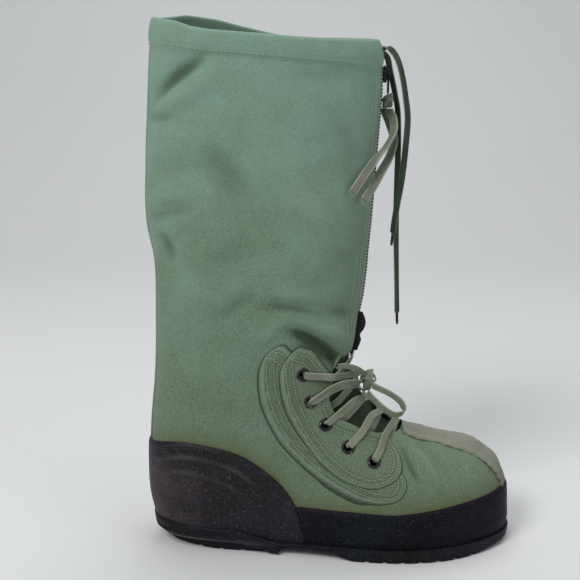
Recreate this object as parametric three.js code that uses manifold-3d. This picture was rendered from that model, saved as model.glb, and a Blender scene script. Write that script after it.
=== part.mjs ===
// A tall canvas mukluk, the right boot of a pair, standing empty on its sole.
// Millimetres. +X points to the toe, +Y to the inner side of the leg, +Z up.
// The origin is on the floor, at the middle of the heel's flat spot.
import * as THREE from "three";
import { mergeVertices } from "three/addons/utils/BufferGeometryUtils.js";
import Module from "manifold-3d";

const wasm = await Module();
wasm.setup();

// Driving sizes of the boot
const footLength = 310;
const ballWidth = 106;
const instepHeight = 160;
const collarHeight = 428;
const shaftDepth = 180;
const shaftWidth = 94;
const shaftSetback = 101;
const heelRestSetback = 66;

// Thicknesses and clearances
const gap = 0.3;
const canvasWall = 2;
const patchThickness = 1;
const stayThickness = 1.1;
const tapeThickness = 1.2;
const hemStep = 1;
const hemHeight = 20;
const seamStep = 0.9;
const seamWidth = 9;
const rubberWall = 3;
const foxingStep = 1.6;
const insoleThickness = 3;
const tongueWall = 1.8;

// Sole heights, measured from the floor
const soleTop = 12;
const archHeight = 7;
const heelLugHeight = 8;
const toeSpring = 5;
const rimBottom = 13;
const rimTop = 23;
const rimStep = 2.6;
const grooveWidth = 4;
const grooveDepth = 2;

// Fastenings
const eyeletRadius = 5.6;
const eyeletHole = 3.1;
const eyeletFlange = 1;
const laceWidth = 6;
const laceThickness = 1.2;
const zipWidth = 10;
const teethWidth = 4.5;
const throatHalf = 25;
const toeTapeWidth = 31;

// Names the columns of a short table, so that each row reads as one record.
function table(columns, rows) {
  return rows.map((row) => Object.fromEntries(columns.map((name, i) => [name, row[i]])));
}

// Sections from the toe to the ankle. Each lies in a plane across the boot, from a back or
// lower end to a front or upper end. X is a share of the foot length from the heel, Z of the
// instep height, half and shift of the ball width. Upper and lower are the superellipse
// powers of the two ends: 1.5 is tent-like, 4 is boxy.
const footSections = table(
  ["backX", "backZ", "frontX", "frontZ", "half", "upper", "lower", "shift"],
  [
    [0.996, 0.13, 0.997, 0.28, 0.035, 2.2, 2.2, 0.05],
    [0.993, 0.02, 0.993, 0.335, 0.13, 2.0, 2.6, 0.055],
    [0.976, -0.06, 0.976, 0.412, 0.235, 1.85, 3.0, 0.065],
    [0.945, -0.1, 0.945, 0.48, 0.315, 1.7, 3.6, 0.06],
    [0.895, -0.12, 0.897, 0.538, 0.395, 1.6, 4.0, 0.045],
    [0.81, -0.12, 0.818, 0.58, 0.475, 1.55, 4.0, 0.02],
    [0.71, -0.12, 0.725, 0.628, 0.5, 1.5, 4.0, 0],
    [0.6, -0.12, 0.652, 0.705, 0.4825, 1.5, 4.0, -0.01],
    [0.49, -0.12, 0.6, 0.815, 0.4375, 1.55, 4.0, -0.015],
    [0.36, -0.12, 0.568, 0.965, 0.395, 1.75, 3.6, -0.01],
    [0.23, -0.12, 0.562, 1.105, 0.39, 2.0, 3.0, -0.005],
    [0.12, -0.08, 0.57, 1.215, 0.395, 2.2, 2.6, 0],
    [0.045, 0.03, 0.576, 1.29, 0.4, 2.3, 2.4, 0],
    [0.009, 0.23, 0.583, 1.36, 0.405, 2.4, 2.3, 0],
    [0.004, 0.45, 0.587, 1.43, 0.4125, 2.4, 2.3, 0],
    [0.011, 0.68, 0.591, 1.51, 0.42, 2.4, 2.3, 0],
  ],
);

// Sections up the leg. X is a share of the shaft depth from the shaft's axis, Z of the
// collar height, half of the shaft width. The rear dips in above the ankle.
const legSections = table(
  ["backX", "backZ", "frontX", "frontZ", "half", "upper", "lower"],
  [
    [-0.515, 0.36, 0.462, 0.6, 0.48, 2.4, 2.4],
    [-0.503, 0.47, 0.472, 0.65, 0.495, 2.4, 2.4],
    [-0.5, 0.575, 0.481, 0.705, 0.5, 2.4, 2.4],
    [-0.531, 0.66, 0.488, 0.755, 0.505, 2.4, 2.4],
    [-0.524, 0.765, 0.498, 0.82, 0.505, 2.4, 2.4],
    [-0.508, 0.865, 0.508, 0.89, 0.5, 2.4, 2.4],
    [-0.492, 0.955, 0.505, 0.952, 0.5, 2.4, 2.4],
    [-0.476, 1.02, 0.49, 0.985, 0.49, 2.4, 2.4],
  ],
);

const heelBack = -heelRestSetback;
const shaftAxis = heelBack + shaftSetback;

function sectionSizes(foot, leg) {
  const rows = foot.map((row) => [
    heelBack + row.backX * footLength,
    row.backZ * instepHeight,
    heelBack + row.frontX * footLength,
    row.frontZ * instepHeight,
    row.half * ballWidth,
    row.upper,
    row.lower,
    row.shift * ballWidth,
  ]);
  const legRows = leg.map((row) => [
    shaftAxis + row.backX * shaftDepth,
    row.backZ * collarHeight,
    shaftAxis + row.frontX * shaftDepth,
    row.frontZ * collarHeight,
    row.half * shaftWidth,
    row.upper,
    row.lower,
    0,
  ]);
  return rows.concat(legRows);
}

const sections = sectionSizes(footSections, legSections);
const lastSection = sections.length - 1;

// Catmull-Rom interpolation between the section rows.
function sectionAt(s) {
  const i = Math.min(Math.max(Math.floor(s), 0), lastSection - 1);
  const t = s - i;
  const b = sections[i];
  const c = sections[i + 1];
  const a = sections[i - 1] ?? b.map((value, k) => 2 * value - c[k]);
  const d = sections[i + 2] ?? c.map((value, k) => 2 * value - b[k]);
  return b.map((value, k) => {
    const linear = (c[k] - a[k]) * t;
    const square = (2 * a[k] - 5 * value + 4 * c[k] - d[k]) * t * t;
    const cube = (3 * value - a[k] - 3 * c[k] + d[k]) * t * t * t;
    return 0.5 * (2 * value + linear + square + cube);
  });
}

const medialRise = 4;
const riseStart = 0.8;

// A point of the canvas's outer face. Turn 0 is the front or top ridge, plus or minus pi
// the back or sole, and a negative turn is the outer side of the leg.
function facePoint(s, turn) {
  const [backX, backZ, frontX, frontZ, half, upper, lower, shift] = sectionAt(s);
  const c = Math.cos(turn);
  const d = Math.sin(turn);
  const power = lower + (upper - lower) * (0.5 + 0.5 * c);
  const along = Math.sign(c) * Math.abs(c) ** (2 / power);
  const across = Math.sign(d) * Math.abs(d) ** (2 / power);
  const point = new THREE.Vector3(
    (backX + frontX + along * (frontX - backX)) / 2,
    shift + across * half,
    (backZ + frontZ + along * (frontZ - backZ)) / 2,
  );
  const nearCollar = Math.max(0, point.z / collarHeight - riseStart) / (1 - riseStart);
  point.z += medialRise * across * nearCollar;
  return point;
}

const normalStep = 0.04;

function faceNormal(s, turn) {
  const low = Math.max(s - normalStep, 0);
  const high = Math.min(s + normalStep, lastSection);
  const lengthwise = facePoint(high, turn).sub(facePoint(low, turn));
  const around = facePoint(s, turn + normalStep).sub(facePoint(s, turn - normalStep));
  return around.cross(lengthwise).normalize();
}

function offsetPoint(s, turn, offset) {
  return facePoint(s, turn).addScaledVector(faceNormal(s, turn), offset);
}

// Solids from meshes, and meshes from solids
function solidFrom(positions, triangles) {
  const mesh = new wasm.Mesh({
    numProp: 3,
    vertProperties: new Float32Array(positions),
    triVerts: new Uint32Array(triangles),
  });
  mesh.merge();
  return new wasm.Manifold(mesh);
}

function solid(geometry) {
  const bare = geometry.clone();
  bare.deleteAttribute("normal");
  bare.deleteAttribute("uv");
  const merged = mergeVertices(bare, 1e-4);
  return solidFrom(merged.attributes.position.array, merged.index.array);
}

function geometryOf(body) {
  const mesh = body.getMesh();
  const geometry = new THREE.BufferGeometry();
  geometry.setAttribute("position", new THREE.BufferAttribute(mesh.vertProperties, 3));
  geometry.setIndex(new THREE.BufferAttribute(mesh.triVerts, 1));
  return geometry;
}

function joined(bodies) {
  return bodies.reduce((sum, body) => sum.add(body));
}

// Rings of points, first to last, closed at both ends: every form of the boot is one of these.
function loft(rings) {
  const count = rings[0].length;
  const positions = [];
  const triangles = [];
  rings.forEach((ring) => ring.forEach((p) => positions.push(p.x, p.y, p.z)));
  for (let i = 0; i + 1 < rings.length; i += 1) {
    for (let j = 0; j < count; j += 1) {
      const a = i * count + j;
      const b = i * count + ((j + 1) % count);
      triangles.push(a, b, b + count, a, b + count, a + count);
    }
  }
  [0, rings.length - 1].forEach((i) => {
    const centre = new THREE.Vector3();
    rings[i].forEach((p) => centre.addScaledVector(p, 1 / count));
    const hub = positions.length / 3;
    positions.push(centre.x, centre.y, centre.z);
    for (let j = 0; j < count; j += 1) {
      const a = i * count + j;
      const b = i * count + ((j + 1) % count);
      triangles.push(...(i === 0 ? [hub, b, a] : [hub, a, b]));
    }
  });
  return solidFrom(positions, triangles);
}

const aroundCount = 16;
const openingReach = 30;

const heelRow = 11;

// Rings lie closer together where the sections swing round the heel.
function ringPlaces() {
  const places = [];
  for (let s = 0; s <= lastSection; s += s >= heelRow && s < heelRow + 2 ? 0.5 : 1) {
    places.push(s);
  }
  return places;
}

// The boot's form at an offset from the canvas's outer face. The offset may depend on the
// place. An open form runs on past the collar, to cut the opening of the shaft.
function bootForm(offset, open = false) {
  const distance = typeof offset === "function" ? offset : () => offset;
  const rings = ringPlaces().map((s) => {
    const ring = [];
    for (let j = 0; j < aroundCount; j += 1) {
      const turn = (2 * Math.PI * j) / aroundCount;
      ring.push(offsetPoint(s, turn, distance(facePoint(s, turn))));
    }
    return ring;
  });
  if (open) {
    const top = rings[rings.length - 1];
    rings.push(top.map((p) => new THREE.Vector3(p.x, p.y, p.z + openingReach)));
  }
  return loft(rings);
}

// A layer of the boot between two offsets.
function layer(inner, outer) {
  return bootForm(outer).subtract(bootForm(inner, true));
}

const farAway = 700;

function block(from, to) {
  const size = to.map((value, i) => value - from[i]);
  const geometry = new THREE.BoxGeometry(...size);
  geometry.translate(...from.map((value, i) => value + size[i] / 2));
  return solid(geometry);
}

function above(z) {
  return block([-farAway, -farAway, z], [farAway, farAway, farAway]);
}

function below(z) {
  return block([-farAway, -farAway, -farAway], [farAway, farAway, z]);
}

function side(sign) {
  const [low, high] = sign < 0 ? [-farAway, 0] : [0, farAway];
  return block([-farAway, low, -farAway], [farAway, high, farAway]);
}

// A prism across the boot, from an outline seen from the side.
function sidePrism(outline, halfDepth = farAway) {
  const shape = new THREE.Shape(outline.map(([x, z]) => new THREE.Vector2(x, z)));
  const geometry = new THREE.ExtrudeGeometry(shape, { depth: 2 * halfDepth, bevelEnabled: false });
  geometry.rotateX(Math.PI / 2);
  geometry.translate(0, halfDepth, 0);
  return solid(geometry);
}

// Places on the side view: X is a share of the foot length from the heel, Z of the instep.
function sidePlace(row) {
  return [heelBack + row.x * footLength, row.z * instepHeight];
}

function rounded(points, count, closed = true) {
  const curve = new THREE.SplineCurve(points.map(([x, y]) => new THREE.Vector2(x, y)));
  if (!closed) {
    return curve.getPoints(count).map((p) => [p.x, p.y]);
  }
  const ring = new THREE.CatmullRomCurve3(
    points.map(([x, y]) => new THREE.Vector3(x, y, 0)),
    true,
    "centripetal",
  );
  return ring.getPoints(count).slice(0, -1).map((p) => [p.x, p.y]);
}

// Reinforcements beside the throat. On the inner side of the foot the throat's edge lies
// nearer the ridge, so their front points reach further forward by the share in reach.
const patchOutline = table(
  ["x", "z", "reach"],
  [
    [0.377, 1.162, 0.02],
    [0.333, 1.125, 0],
    [0.312, 1.035, 0],
    [0.312, 0.924, 0],
    [0.322, 0.827, 0],
    [0.354, 0.685, 0],
    [0.394, 0.579, 0],
    [0.45, 0.474, 0],
    [0.503, 0.404, 0],
    [0.57, 0.344, 0],
    [0.63, 0.332, 0],
    [0.674, 0.35, 0],
    [0.694, 0.396, 0],
    [0.697, 0.439, 0.01],
    [0.68, 0.5, 0.03],
    [0.62, 0.66, 0.06],
    [0.52, 0.86, 0.06],
    [0.43, 1.06, 0.05],
  ],
);

const stayOutline = table(
  ["x", "z", "reach"],
  [
    [0.418, 1.154, 0.02],
    [0.394, 1.125, 0.01],
    [0.368, 1.051, 0],
    [0.365, 0.963, 0],
    [0.38, 0.824, 0],
    [0.411, 0.704, 0],
    [0.465, 0.552, 0],
    [0.517, 0.466, 0],
    [0.562, 0.429, 0],
    [0.612, 0.415, 0],
    [0.658, 0.443, 0],
    [0.681, 0.479, 0.005],
    [0.684, 0.526, 0.01],
    [0.67, 0.58, 0.03],
    [0.6, 0.74, 0.06],
    [0.53, 0.9, 0.07],
    [0.485, 1.02, 0.06],
    [0.446, 1.131, 0.03],
  ],
);

const outlineCount = 18;

function outlineOnSide(rows, sign) {
  const places = rows.map((row) => {
    const [x, z] = sidePlace(row);
    return [sign < 0 ? x : x + row.reach * footLength, z];
  });
  return sidePrism(rounded(places, outlineCount));
}

// The throat lies across the slanting instep. Its outline is seen square to the instep:
// along is a share of its length from the shaft's foot down to the toe tape.
const throatTop = { x: 0.563, z: 1.02 };
const throatEnd = { x: 0.695, z: 0.64 };
const throatCentre = -9;
const throatWidths = table(
  ["along", "half"],
  [
    [-0.12, 0.9],
    [0.1, 1.06],
    [0.35, 1.08],
    [0.6, 0.98],
    [0.8, 0.76],
    [0.93, 0.42],
    [1, 0],
  ],
);

function throatFrame() {
  const [topX, topZ] = sidePlace(throatTop);
  const [endX, endZ] = sidePlace(throatEnd);
  const down = new THREE.Vector3(endX - topX, 0, endZ - topZ);
  const length = down.length();
  down.normalize();
  const out = new THREE.Vector3(-down.z, 0, down.x);
  const origin = new THREE.Vector3(topX, throatCentre, topZ);
  return { down, out, origin, length };
}

function throatPrism(margin, from, to) {
  const { down, out, origin, length } = throatFrame();
  const across = new THREE.Vector3().crossVectors(out, down);
  const near = throatWidths.map((row) => [row.along * length, row.half * throatHalf + margin]);
  near[0][0] -= margin;
  const tip = near.pop();
  const far = near.map(([t, half]) => [t, -half]).reverse();
  const lower = rounded([...near.slice(1), [tip[0] + margin, 0], ...far.slice(0, -1)], 16, false);
  const outline = [near[0], ...lower, far[far.length - 1]];
  const shape = new THREE.Shape(outline.map(([t, y]) => new THREE.Vector2(t, y)));
  const geometry = new THREE.ExtrudeGeometry(shape, { depth: to - from, bevelEnabled: false });
  const matrix = new THREE.Matrix4().makeBasis(down, across, out);
  matrix.setPosition(origin.clone().addScaledVector(out, from));
  geometry.applyMatrix4(matrix);
  return solid(geometry);
}

const throatInward = 34;
const throatOutward = 60;
const throatCut = throatPrism(0, -throatInward, throatOutward);
const slitHalf = zipWidth / 2 + gap;
const frontSlit = block(
  [shaftAxis, -slitHalf, throatTop.z * instepHeight],
  [farAway, slitHalf, farAway],
);

// Eyelets, from the ankle down to the toe end of the throat
const eyeletPlaces = table(
  ["x", "z"],
  [
    [0.423, 1.01],
    [0.443, 0.862],
    [0.483, 0.737],
    [0.544, 0.618],
    [0.611, 0.542],
  ],
);

const searchSteps = 12;
const searchSpans = [1.2, 0.3, 0.06, 0.012];

// Finds the section and turn whose face point scores lowest, within a range of turns.
function search(score, lowTurn, highTurn) {
  let best = { s: 0, turn: 0, score: Infinity };
  const scan = (s0, t0, spanS, spanT) => {
    for (let i = -searchSteps; i <= searchSteps; i += 1) {
      for (let j = -searchSteps; j <= searchSteps; j += 1) {
        const s = THREE.MathUtils.clamp(s0 + (spanS * i) / searchSteps, 0, lastSection);
        const turn = THREE.MathUtils.clamp(t0 + (spanT * j) / searchSteps, lowTurn, highTurn);
        const found = score(facePoint(s, turn));
        if (found < best.score) {
          best = { s, turn, score: found };
        }
      }
    }
  };
  scan(lastSection / 2, (lowTurn + highTurn) / 2, lastSection / 2, (highTurn - lowTurn) / 2);
  for (const span of searchSpans) {
    scan(best.s, best.turn, span, span / 2);
  }
  return best;
}

function locate(x, z, sign) {
  const [low, high] = sign < 0 ? [-Math.PI, 0] : [0, Math.PI];
  return search((p) => Math.hypot(p.x - x, p.z - z), low, high);
}

// A place in the throat: along is a share of its length, across a distance in millimetres.
function throatPlace(along, across) {
  const { down, origin, length } = throatFrame();
  const score = (p) => {
    const t = p.clone().sub(origin).dot(down);
    return Math.hypot(t - along * length, p.y - throatCentre - across);
  };
  return search(score, -Math.PI / 2, Math.PI / 2);
}

const stayFace = gap + patchThickness + gap + stayThickness;
const innerEyelets = { inset: 9, alongs: [-0.06, 0.2, 0.46, 0.7, 0.92] };

function throatHalfAt(along) {
  const rows = throatWidths;
  const i = Math.max(1, rows.findIndex((row) => row.along > along));
  const [a, b] = [rows[i - 1], rows[i] ?? rows[i - 1]];
  const t = (along - a.along) / (b.along - a.along);
  return throatHalf * (a.half + (b.half - a.half) * t);
}

const outerSeats = eyeletPlaces.map((row) => locate(...sidePlace(row), -1));
const innerSeats = innerEyelets.alongs.map((along) => {
  return throatPlace(along, throatHalfAt(along) + innerEyelets.inset);
});

// A turned piece set on the boot's face, its axis along the face's normal.
function onFace(profile, s, turn, segments) {
  const geometry = new THREE.LatheGeometry(profile.map(([r, h]) => new THREE.Vector2(r, h)), segments);
  const normal = faceNormal(s, turn);
  const lift = new THREE.Quaternion().setFromUnitVectors(new THREE.Vector3(0, 1, 0), normal);
  geometry.applyQuaternion(lift);
  geometry.translate(...facePoint(s, turn).toArray());
  return solid(geometry);
}

const barrelRadius = eyeletHole + 0.8;
const rolledRadius = barrelRadius + 0.5;
const eyeletSegments = 8;

// The flange stands a little off the stay, more where the face curves round to the ridge.
const eyeletLifts = { outer: 0.6, inner: 1.1 };

function eyelet({ s, turn }, lift) {
  const seat = stayFace + lift;
  const profile = [
    [eyeletHole, -canvasWall],
    [barrelRadius, -canvasWall],
    [barrelRadius, seat],
    [eyeletRadius, seat],
    [rolledRadius, seat + eyeletFlange],
    [eyeletHole, seat + eyeletFlange / 2],
    [eyeletHole, -canvasWall],
  ];
  return onFace(profile, s, turn, eyeletSegments);
}

function eyeletPunch(s, turn) {
  const radius = barrelRadius + gap;
  const deep = -2 * canvasWall;
  const high = stayFace + patchThickness;
  const profile = [[0, deep], [radius, deep], [radius, high], [0, high]];
  return onFace(profile, s, turn, eyeletSegments);
}

const punches = joined([...outerSeats, ...innerSeats].map(({ s, turn }) => eyeletPunch(s, turn)));

// Upper: one hollow canvas shell, open at the collar, throat, zip slit and underneath.
function makeUpper() {
  const [, backZ, , frontZ] = sections[lastSection];
  const [backX, , frontX] = sections[lastSection];
  const slope = (frontZ - backZ) / (frontX - backX);
  const hemLine = (x) => backZ + slope * (x - backX) - hemHeight;
  const aboveHem = sidePrism([
    [-farAway, hemLine(-farAway)],
    [farAway, hemLine(farAway)],
    [farAway, farAway],
    [-farAway, farAway],
  ]);
  const outer = bootForm(0).add(bootForm(hemStep).intersect(aboveHem));
  return outer
    .subtract(bootForm(-canvasWall, true))
    .intersect(above(soleTop + gap))
    .subtract(throatCut)
    .subtract(frontSlit)
    .subtract(punches);
}

// Where the rubber's top edge lies at the back and at the toe
const counterTopRear = 0.59 * instepHeight;
const foxingFront = 0.32 * instepHeight;

function makeBackSeam() {
  const top = collarHeight - hemHeight;
  const strip = block([-farAway, -seamWidth / 2, counterTopRear + gap], [shaftAxis, seamWidth / 2, top]);
  return layer(gap, gap + seamStep).intersect(strip);
}

const tongueMargin = 4.5;

function makeTongue() {
  const face = -canvasWall - 2 * gap;
  const region = throatPrism(tongueMargin, tongueMargin - throatInward, throatOutward);
  return layer(face - tongueWall, face).intersect(region);
}

function makeInsole() {
  const bottom = soleTop + gap;
  return bootForm(-canvasWall - gap).intersect(above(bottom)).intersect(below(bottom + insoleThickness));
}

function makePatch(sign) {
  const prism = outlineOnSide(patchOutline, sign);
  const sheet = layer(gap, gap + patchThickness).intersect(prism).intersect(side(sign));
  return sheet.subtract(throatCut).subtract(punches);
}

function makeStay(sign) {
  const prism = outlineOnSide(stayOutline, sign);
  const bottom = gap + patchThickness + gap;
  const sheet = layer(bottom, stayFace).intersect(prism).intersect(side(sign));
  return sheet.subtract(throatCut).subtract(punches);
}

// Toe tape down the ridge of the vamp, from the throat to the rubber
const tapeStart = 0.706;
const tapeCentre = 1.5;

function makeToeTape() {
  const from = [heelBack + tapeStart * footLength, tapeCentre - toeTapeWidth / 2, foxingFront + gap];
  const strip = block(from, [farAway, tapeCentre + toeTapeWidth / 2, instepHeight]);
  return layer(gap, gap + tapeThickness).intersect(strip);
}

// Rubber. The counter's top line falls from the heel to the waist.
const counterTop = table(
  ["x", "z"],
  [
    [-0.05, 0.56],
    [0.006, 0.575],
    [0.05, 0.605],
    [0.115, 0.63],
    [0.203, 0.607],
    [0.26, 0.57],
    [0.305, 0.513],
    [0.355, 0.43],
    [0.387, 0.351],
    [0.407, 0.273],
    [0.428, 0.12],
  ],
);

const foxingTop = table(
  ["x", "z"],
  [
    [0.38, 0.285],
    [0.49, 0.275],
    [0.58, 0.273],
    [0.66, 0.269],
    [0.742, 0.283],
    [0.83, 0.303],
    [0.91, 0.312],
    [0.96, 0.316],
    [1.03, 0.32],
  ],
);

const counterSteps = 9;
const foxingSteps = 8;

function counterRegion() {
  const line = rounded(counterTop.map(sidePlace), counterSteps, false);
  const [endX] = line[line.length - 1];
  const bottom = rimTop + gap;
  const low = soleTop + gap;
  return sidePrism([...line, [endX, low], [rimEnd, low], [rimStart, bottom], [-farAway, bottom]]);
}

// Raised ribs on the counter, as strokes seen from the side
const counterRibs = [
  table(
    ["x", "z"],
    [
      [0.043, 0.519],
      [0.115, 0.552],
      [0.201, 0.527],
      [0.251, 0.488],
      [0.286, 0.43],
      [0.335, 0.339],
    ],
  ),
  table(
    ["x", "z"],
    [
      [0.04, 0.445],
      [0.114, 0.468],
      [0.166, 0.447],
      [0.219, 0.414],
      [0.259, 0.37],
      [0.286, 0.306],
    ],
  ),
];
const ribWidth = 3.2;
const ribRise = 1.3;
const ribCount = 4;

function stroke(points, width) {
  const curve = new THREE.SplineCurve(points.map(([x, z]) => new THREE.Vector2(x, z)));
  const near = [];
  const far = [];
  for (let i = 0; i <= ribCount; i += 1) {
    const p = curve.getPoint(i / ribCount);
    const tangent = curve.getTangent(i / ribCount);
    near.push([p.x - (tangent.y * width) / 2, p.y + (tangent.x * width) / 2]);
    far.unshift([p.x + (tangent.y * width) / 2, p.y - (tangent.x * width) / 2]);
  }
  return sidePrism([...near, ...far]);
}

function makeCounter() {
  const plain = layer(gap, gap + rubberWall).intersect(counterRegion());
  const high = layer(gap, gap + rubberWall + ribRise);
  const ribs = counterRibs.map((rib) => high.intersect(stroke(rib.map(sidePlace), ribWidth)));
  return joined([plain, ...ribs]);
}

function makeFoxing() {
  const line = rounded(foxingTop.map(sidePlace), foxingSteps, false);
  const low = soleTop + gap;
  const [startX] = line[0];
  const [endX] = line[line.length - 1];
  const region = sidePrism([[startX, low], ...line, [endX, low]].reverse());
  return layer(gap, gap + rubberWall).intersect(region).subtract(counterRegionGrown());
}

function counterRegionGrown() {
  const edge = rounded(counterTop.map(sidePlace), counterSteps, false);
  const line = edge.map(([x, z]) => [x + gap, z + gap]);
  const [endX] = line[line.length - 1];
  return sidePrism([...line, [endX, -farAway], [-farAway, -farAway]]);
}

// Sole: a band around the foot, a lipped rim at the heel, a heel lug and the arch
const heelFront = heelBack + 0.36 * footLength;
const archStart = heelBack + 0.41 * footLength;
const archEnd = heelBack + 0.5 * footLength;
const ballFront = heelBack + 0.56 * footLength;
const springStart = heelBack + 0.88 * footLength;
const toeFront = heelBack + footLength;
const rimStart = heelBack + 0.3 * footLength;
const rimEnd = heelBack + 0.38 * footLength;
const rimFade = 25;
const lugInset = 1;
const rearBevel = { from: 10, to: 12, rise: 1 };
const toeLip = 3;
const treadStart = heelBack + 0.11 * footLength;
const treadMargin = 4;
const heelGrooves = 4;
const ballGrooves = 7;

function soleOffset(point) {
  const fade = THREE.MathUtils.smoothstep(point.x, rimStart - rimFade, rimEnd);
  return gap + rubberWall + rimStep + (foxingStep - rimStep) * fade;
}

function grooves(from, to, count, z) {
  const pitch = (to - from) / count;
  const cuts = [];
  for (let i = 0; i < count; i += 1) {
    const x = from + pitch * (i + 0.5);
    cuts.push(block([x - grooveWidth / 2, -farAway, -farAway], [x + grooveWidth / 2, farAway, z]));
  }
  return joined(cuts);
}

function makeOutsole() {
  const profile = sidePrism([
    [-farAway, rimBottom],
    [heelBack + rearBevel.from, rimBottom - rearBevel.rise],
    [heelBack + rearBevel.to, heelLugHeight],
    [archStart, heelLugHeight],
    [archEnd, archHeight],
    [ballFront, 0],
    [springStart, 0],
    [toeFront + toeLip, toeSpring],
    [farAway, toeSpring],
    [farAway, soleTop],
    [rimEnd, soleTop],
    [rimStart, rimTop],
    [-farAway, rimTop],
  ]);
  const lugBlock = block([-farAway, -farAway, 0], [heelFront, farAway, heelLugHeight + rearBevel.rise]);
  const lug = bootForm(-lugInset).intersect(lugBlock);
  const cup = bootForm(gap).intersect(above(soleTop));
  const tread = joined([
    grooves(treadStart, heelFront - treadMargin, heelGrooves, grooveDepth),
    grooves(ballFront + treadMargin, springStart + 2 * treadMargin, ballGrooves, grooveDepth),
  ]);
  return bootForm(soleOffset).intersect(profile).add(lug).subtract(cup).subtract(tread);
}

// Laces: flat bars that rise from an eyelet, cross over the throat and dip at the far edge
const laceRest = stayFace + eyeletLifts.outer + eyeletFlange + 2 * gap + laceThickness / 2;

// A flat strip along points with a given up direction at each.
function strip(points, ups, width, thickness) {
  const rings = points.map((p, i) => {
    const before = points[Math.max(i - 1, 0)];
    const after = points[Math.min(i + 1, points.length - 1)];
    const tangent = after.clone().sub(before).normalize();
    const across = new THREE.Vector3().crossVectors(ups[i], tangent).normalize();
    const up = new THREE.Vector3().crossVectors(tangent, across).normalize();
    const corner = (w, h) => {
      const edge = p.clone().addScaledVector(across, (w * width) / 2);
      return edge.addScaledVector(up, (h * thickness) / 2);
    };
    return [corner(-1, -1), corner(1, -1), corner(1, 1), corner(-1, 1)];
  });
  return loft(rings);
}

// Each crossing is two strands that meet at the inner edge of the throat: one comes from an
// outer eyelet, the other goes under the outer edge. Shares are of the throat's length.
const crossings = table(
  ["inner", "outer", "inset"],
  [
    [0.2, -0.04, 16],
    [0.41, 0.21, 5],
    [0.57, 0.41, 5],
    [0.79, 0.73, 5],
    [0.92, 0.93, 5],
  ],
);
const laceSteps = 6;
const liftStart = 0.25;
const innerLift = 1.4;
const outerLift = -0.3;
const outerInset = 4.5;

// A strand laid over the face from one place to another, by its nearest points.
function strand(from, to, fromLift, toLift) {
  const start = facePoint(from.s, from.turn);
  const end = facePoint(to.s, to.turn);
  const points = [];
  const ups = [];
  for (let i = 0; i <= laceSteps; i += 1) {
    const t = i / laceSteps;
    const chord = start.clone().lerp(end, t);
    const { s, turn } = search((p) => p.distanceTo(chord), -Math.PI / 2, Math.PI / 2);
    const ease = THREE.MathUtils.smoothstep(t, liftStart, 1);
    points.push(offsetPoint(s, turn, fromLift + (toLift - fromLift) * ease));
    ups.push(faceNormal(s, turn));
  }
  return strip(points, ups, laceWidth, laceThickness);
}

function laceCrossing({ inner, outer, inset }, level) {
  const meet = throatPlace(inner, throatHalfAt(inner) - inset);
  const under = throatPlace(outer, outerInset - throatHalfAt(outer));
  const over = strand(outerSeats[level], meet, laceRest, innerLift);
  return over.add(strand(meet, under, innerLift, outerLift));
}

const frontRow = 6;
const halvings = 30;

// The row of ridge points down the front of the boot
function frontLine(s, offset) {
  return offsetPoint(s, 0, offset);
}

function sectionOfFront(z) {
  let low = frontRow;
  let high = lastSection;
  for (let i = 0; i < halvings; i += 1) {
    const middle = (low + high) / 2;
    if (facePoint(middle, 0).z < z) {
      low = middle;
    } else {
      high = middle;
    }
  }
  return low;
}

// Zip: a tape in the front slit with a raised row of teeth, a slider, and its pull
const zipTop = collarHeight - 20;
const zipBottom = throatTop.z * instepHeight + 2;
const teethRise = 1.6;

function makeZip() {
  const region = (width) => block([shaftAxis, -width / 2, zipBottom], [farAway, width / 2, zipTop]);
  const tape = layer(-canvasWall, 0).intersect(region(zipWidth));
  const teeth = layer(-canvasWall, teethRise).intersect(region(teethWidth));
  return tape.add(teeth);
}

const sliderHeight = collarHeight - 32;
const sliderFront = frontLine(sectionOfFront(sliderHeight), teethRise + gap).x;
const sliderSize = { x: 2.4, y: 9, z: 13 };
const archRise = 3.6;
const archHalf = 4.6;
const archBar = 1.1;
const archSink = 0.5;
const pinRadius = 0.8;
const pinSeat = { x: 1.5, z: 3 };
const pivot = { x: sliderFront + sliderSize.x + pinSeat.x, z: sliderHeight + pinSeat.z };

function makeSlider() {
  const body = block(
    [sliderFront, -sliderSize.y / 2, sliderHeight - sliderSize.z / 2],
    [sliderFront + sliderSize.x, sliderSize.y / 2, sliderHeight + sliderSize.z / 2],
  );
  const faceX = sliderFront + sliderSize.x;
  const outer = block(
    [faceX - archSink, -archBar, pivot.z - archHalf],
    [faceX + archRise, archBar, pivot.z + archHalf],
  );
  const window = block(
    [faceX, -2 * archBar, pivot.z - archHalf + archBar],
    [faceX + archRise - archBar, 2 * archBar, pivot.z + archHalf - archBar],
  );
  return body.add(outer.subtract(window));
}

const tabLength = 18;
const tabWidth = 7.5;
const tabThickness = 1.4;
const legWidth = 1.8;
const legReach = 7;
const pinSides = 10;

function makePullTab() {
  const pin = new THREE.CylinderGeometry(pinRadius, pinRadius, tabWidth, pinSides);
  pin.translate(pivot.x, 0, pivot.z);
  const leg = (sign) => {
    const y0 = sign < 0 ? -tabWidth / 2 : tabWidth / 2 - legWidth;
    return block(
      [pivot.x - tabThickness / 2, y0, pivot.z - legReach - 1],
      [pivot.x + tabThickness / 2, y0 + legWidth, pivot.z + tabThickness / 2],
    );
  };
  const plate = block(
    [pivot.x - tabThickness / 2, -tabWidth / 2, pivot.z - tabLength],
    [pivot.x + tabThickness / 2, tabWidth / 2, pivot.z - legReach],
  );
  return joined([solid(pin), leg(-1), leg(1), plate]);
}

const knotRadius = 5.4;
const knotCentre = { x: pivot.x, y: 0, z: pivot.z - tabLength - gap - knotRadius };
const knotScale = [0.66, 1.05, 0.98];

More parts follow.
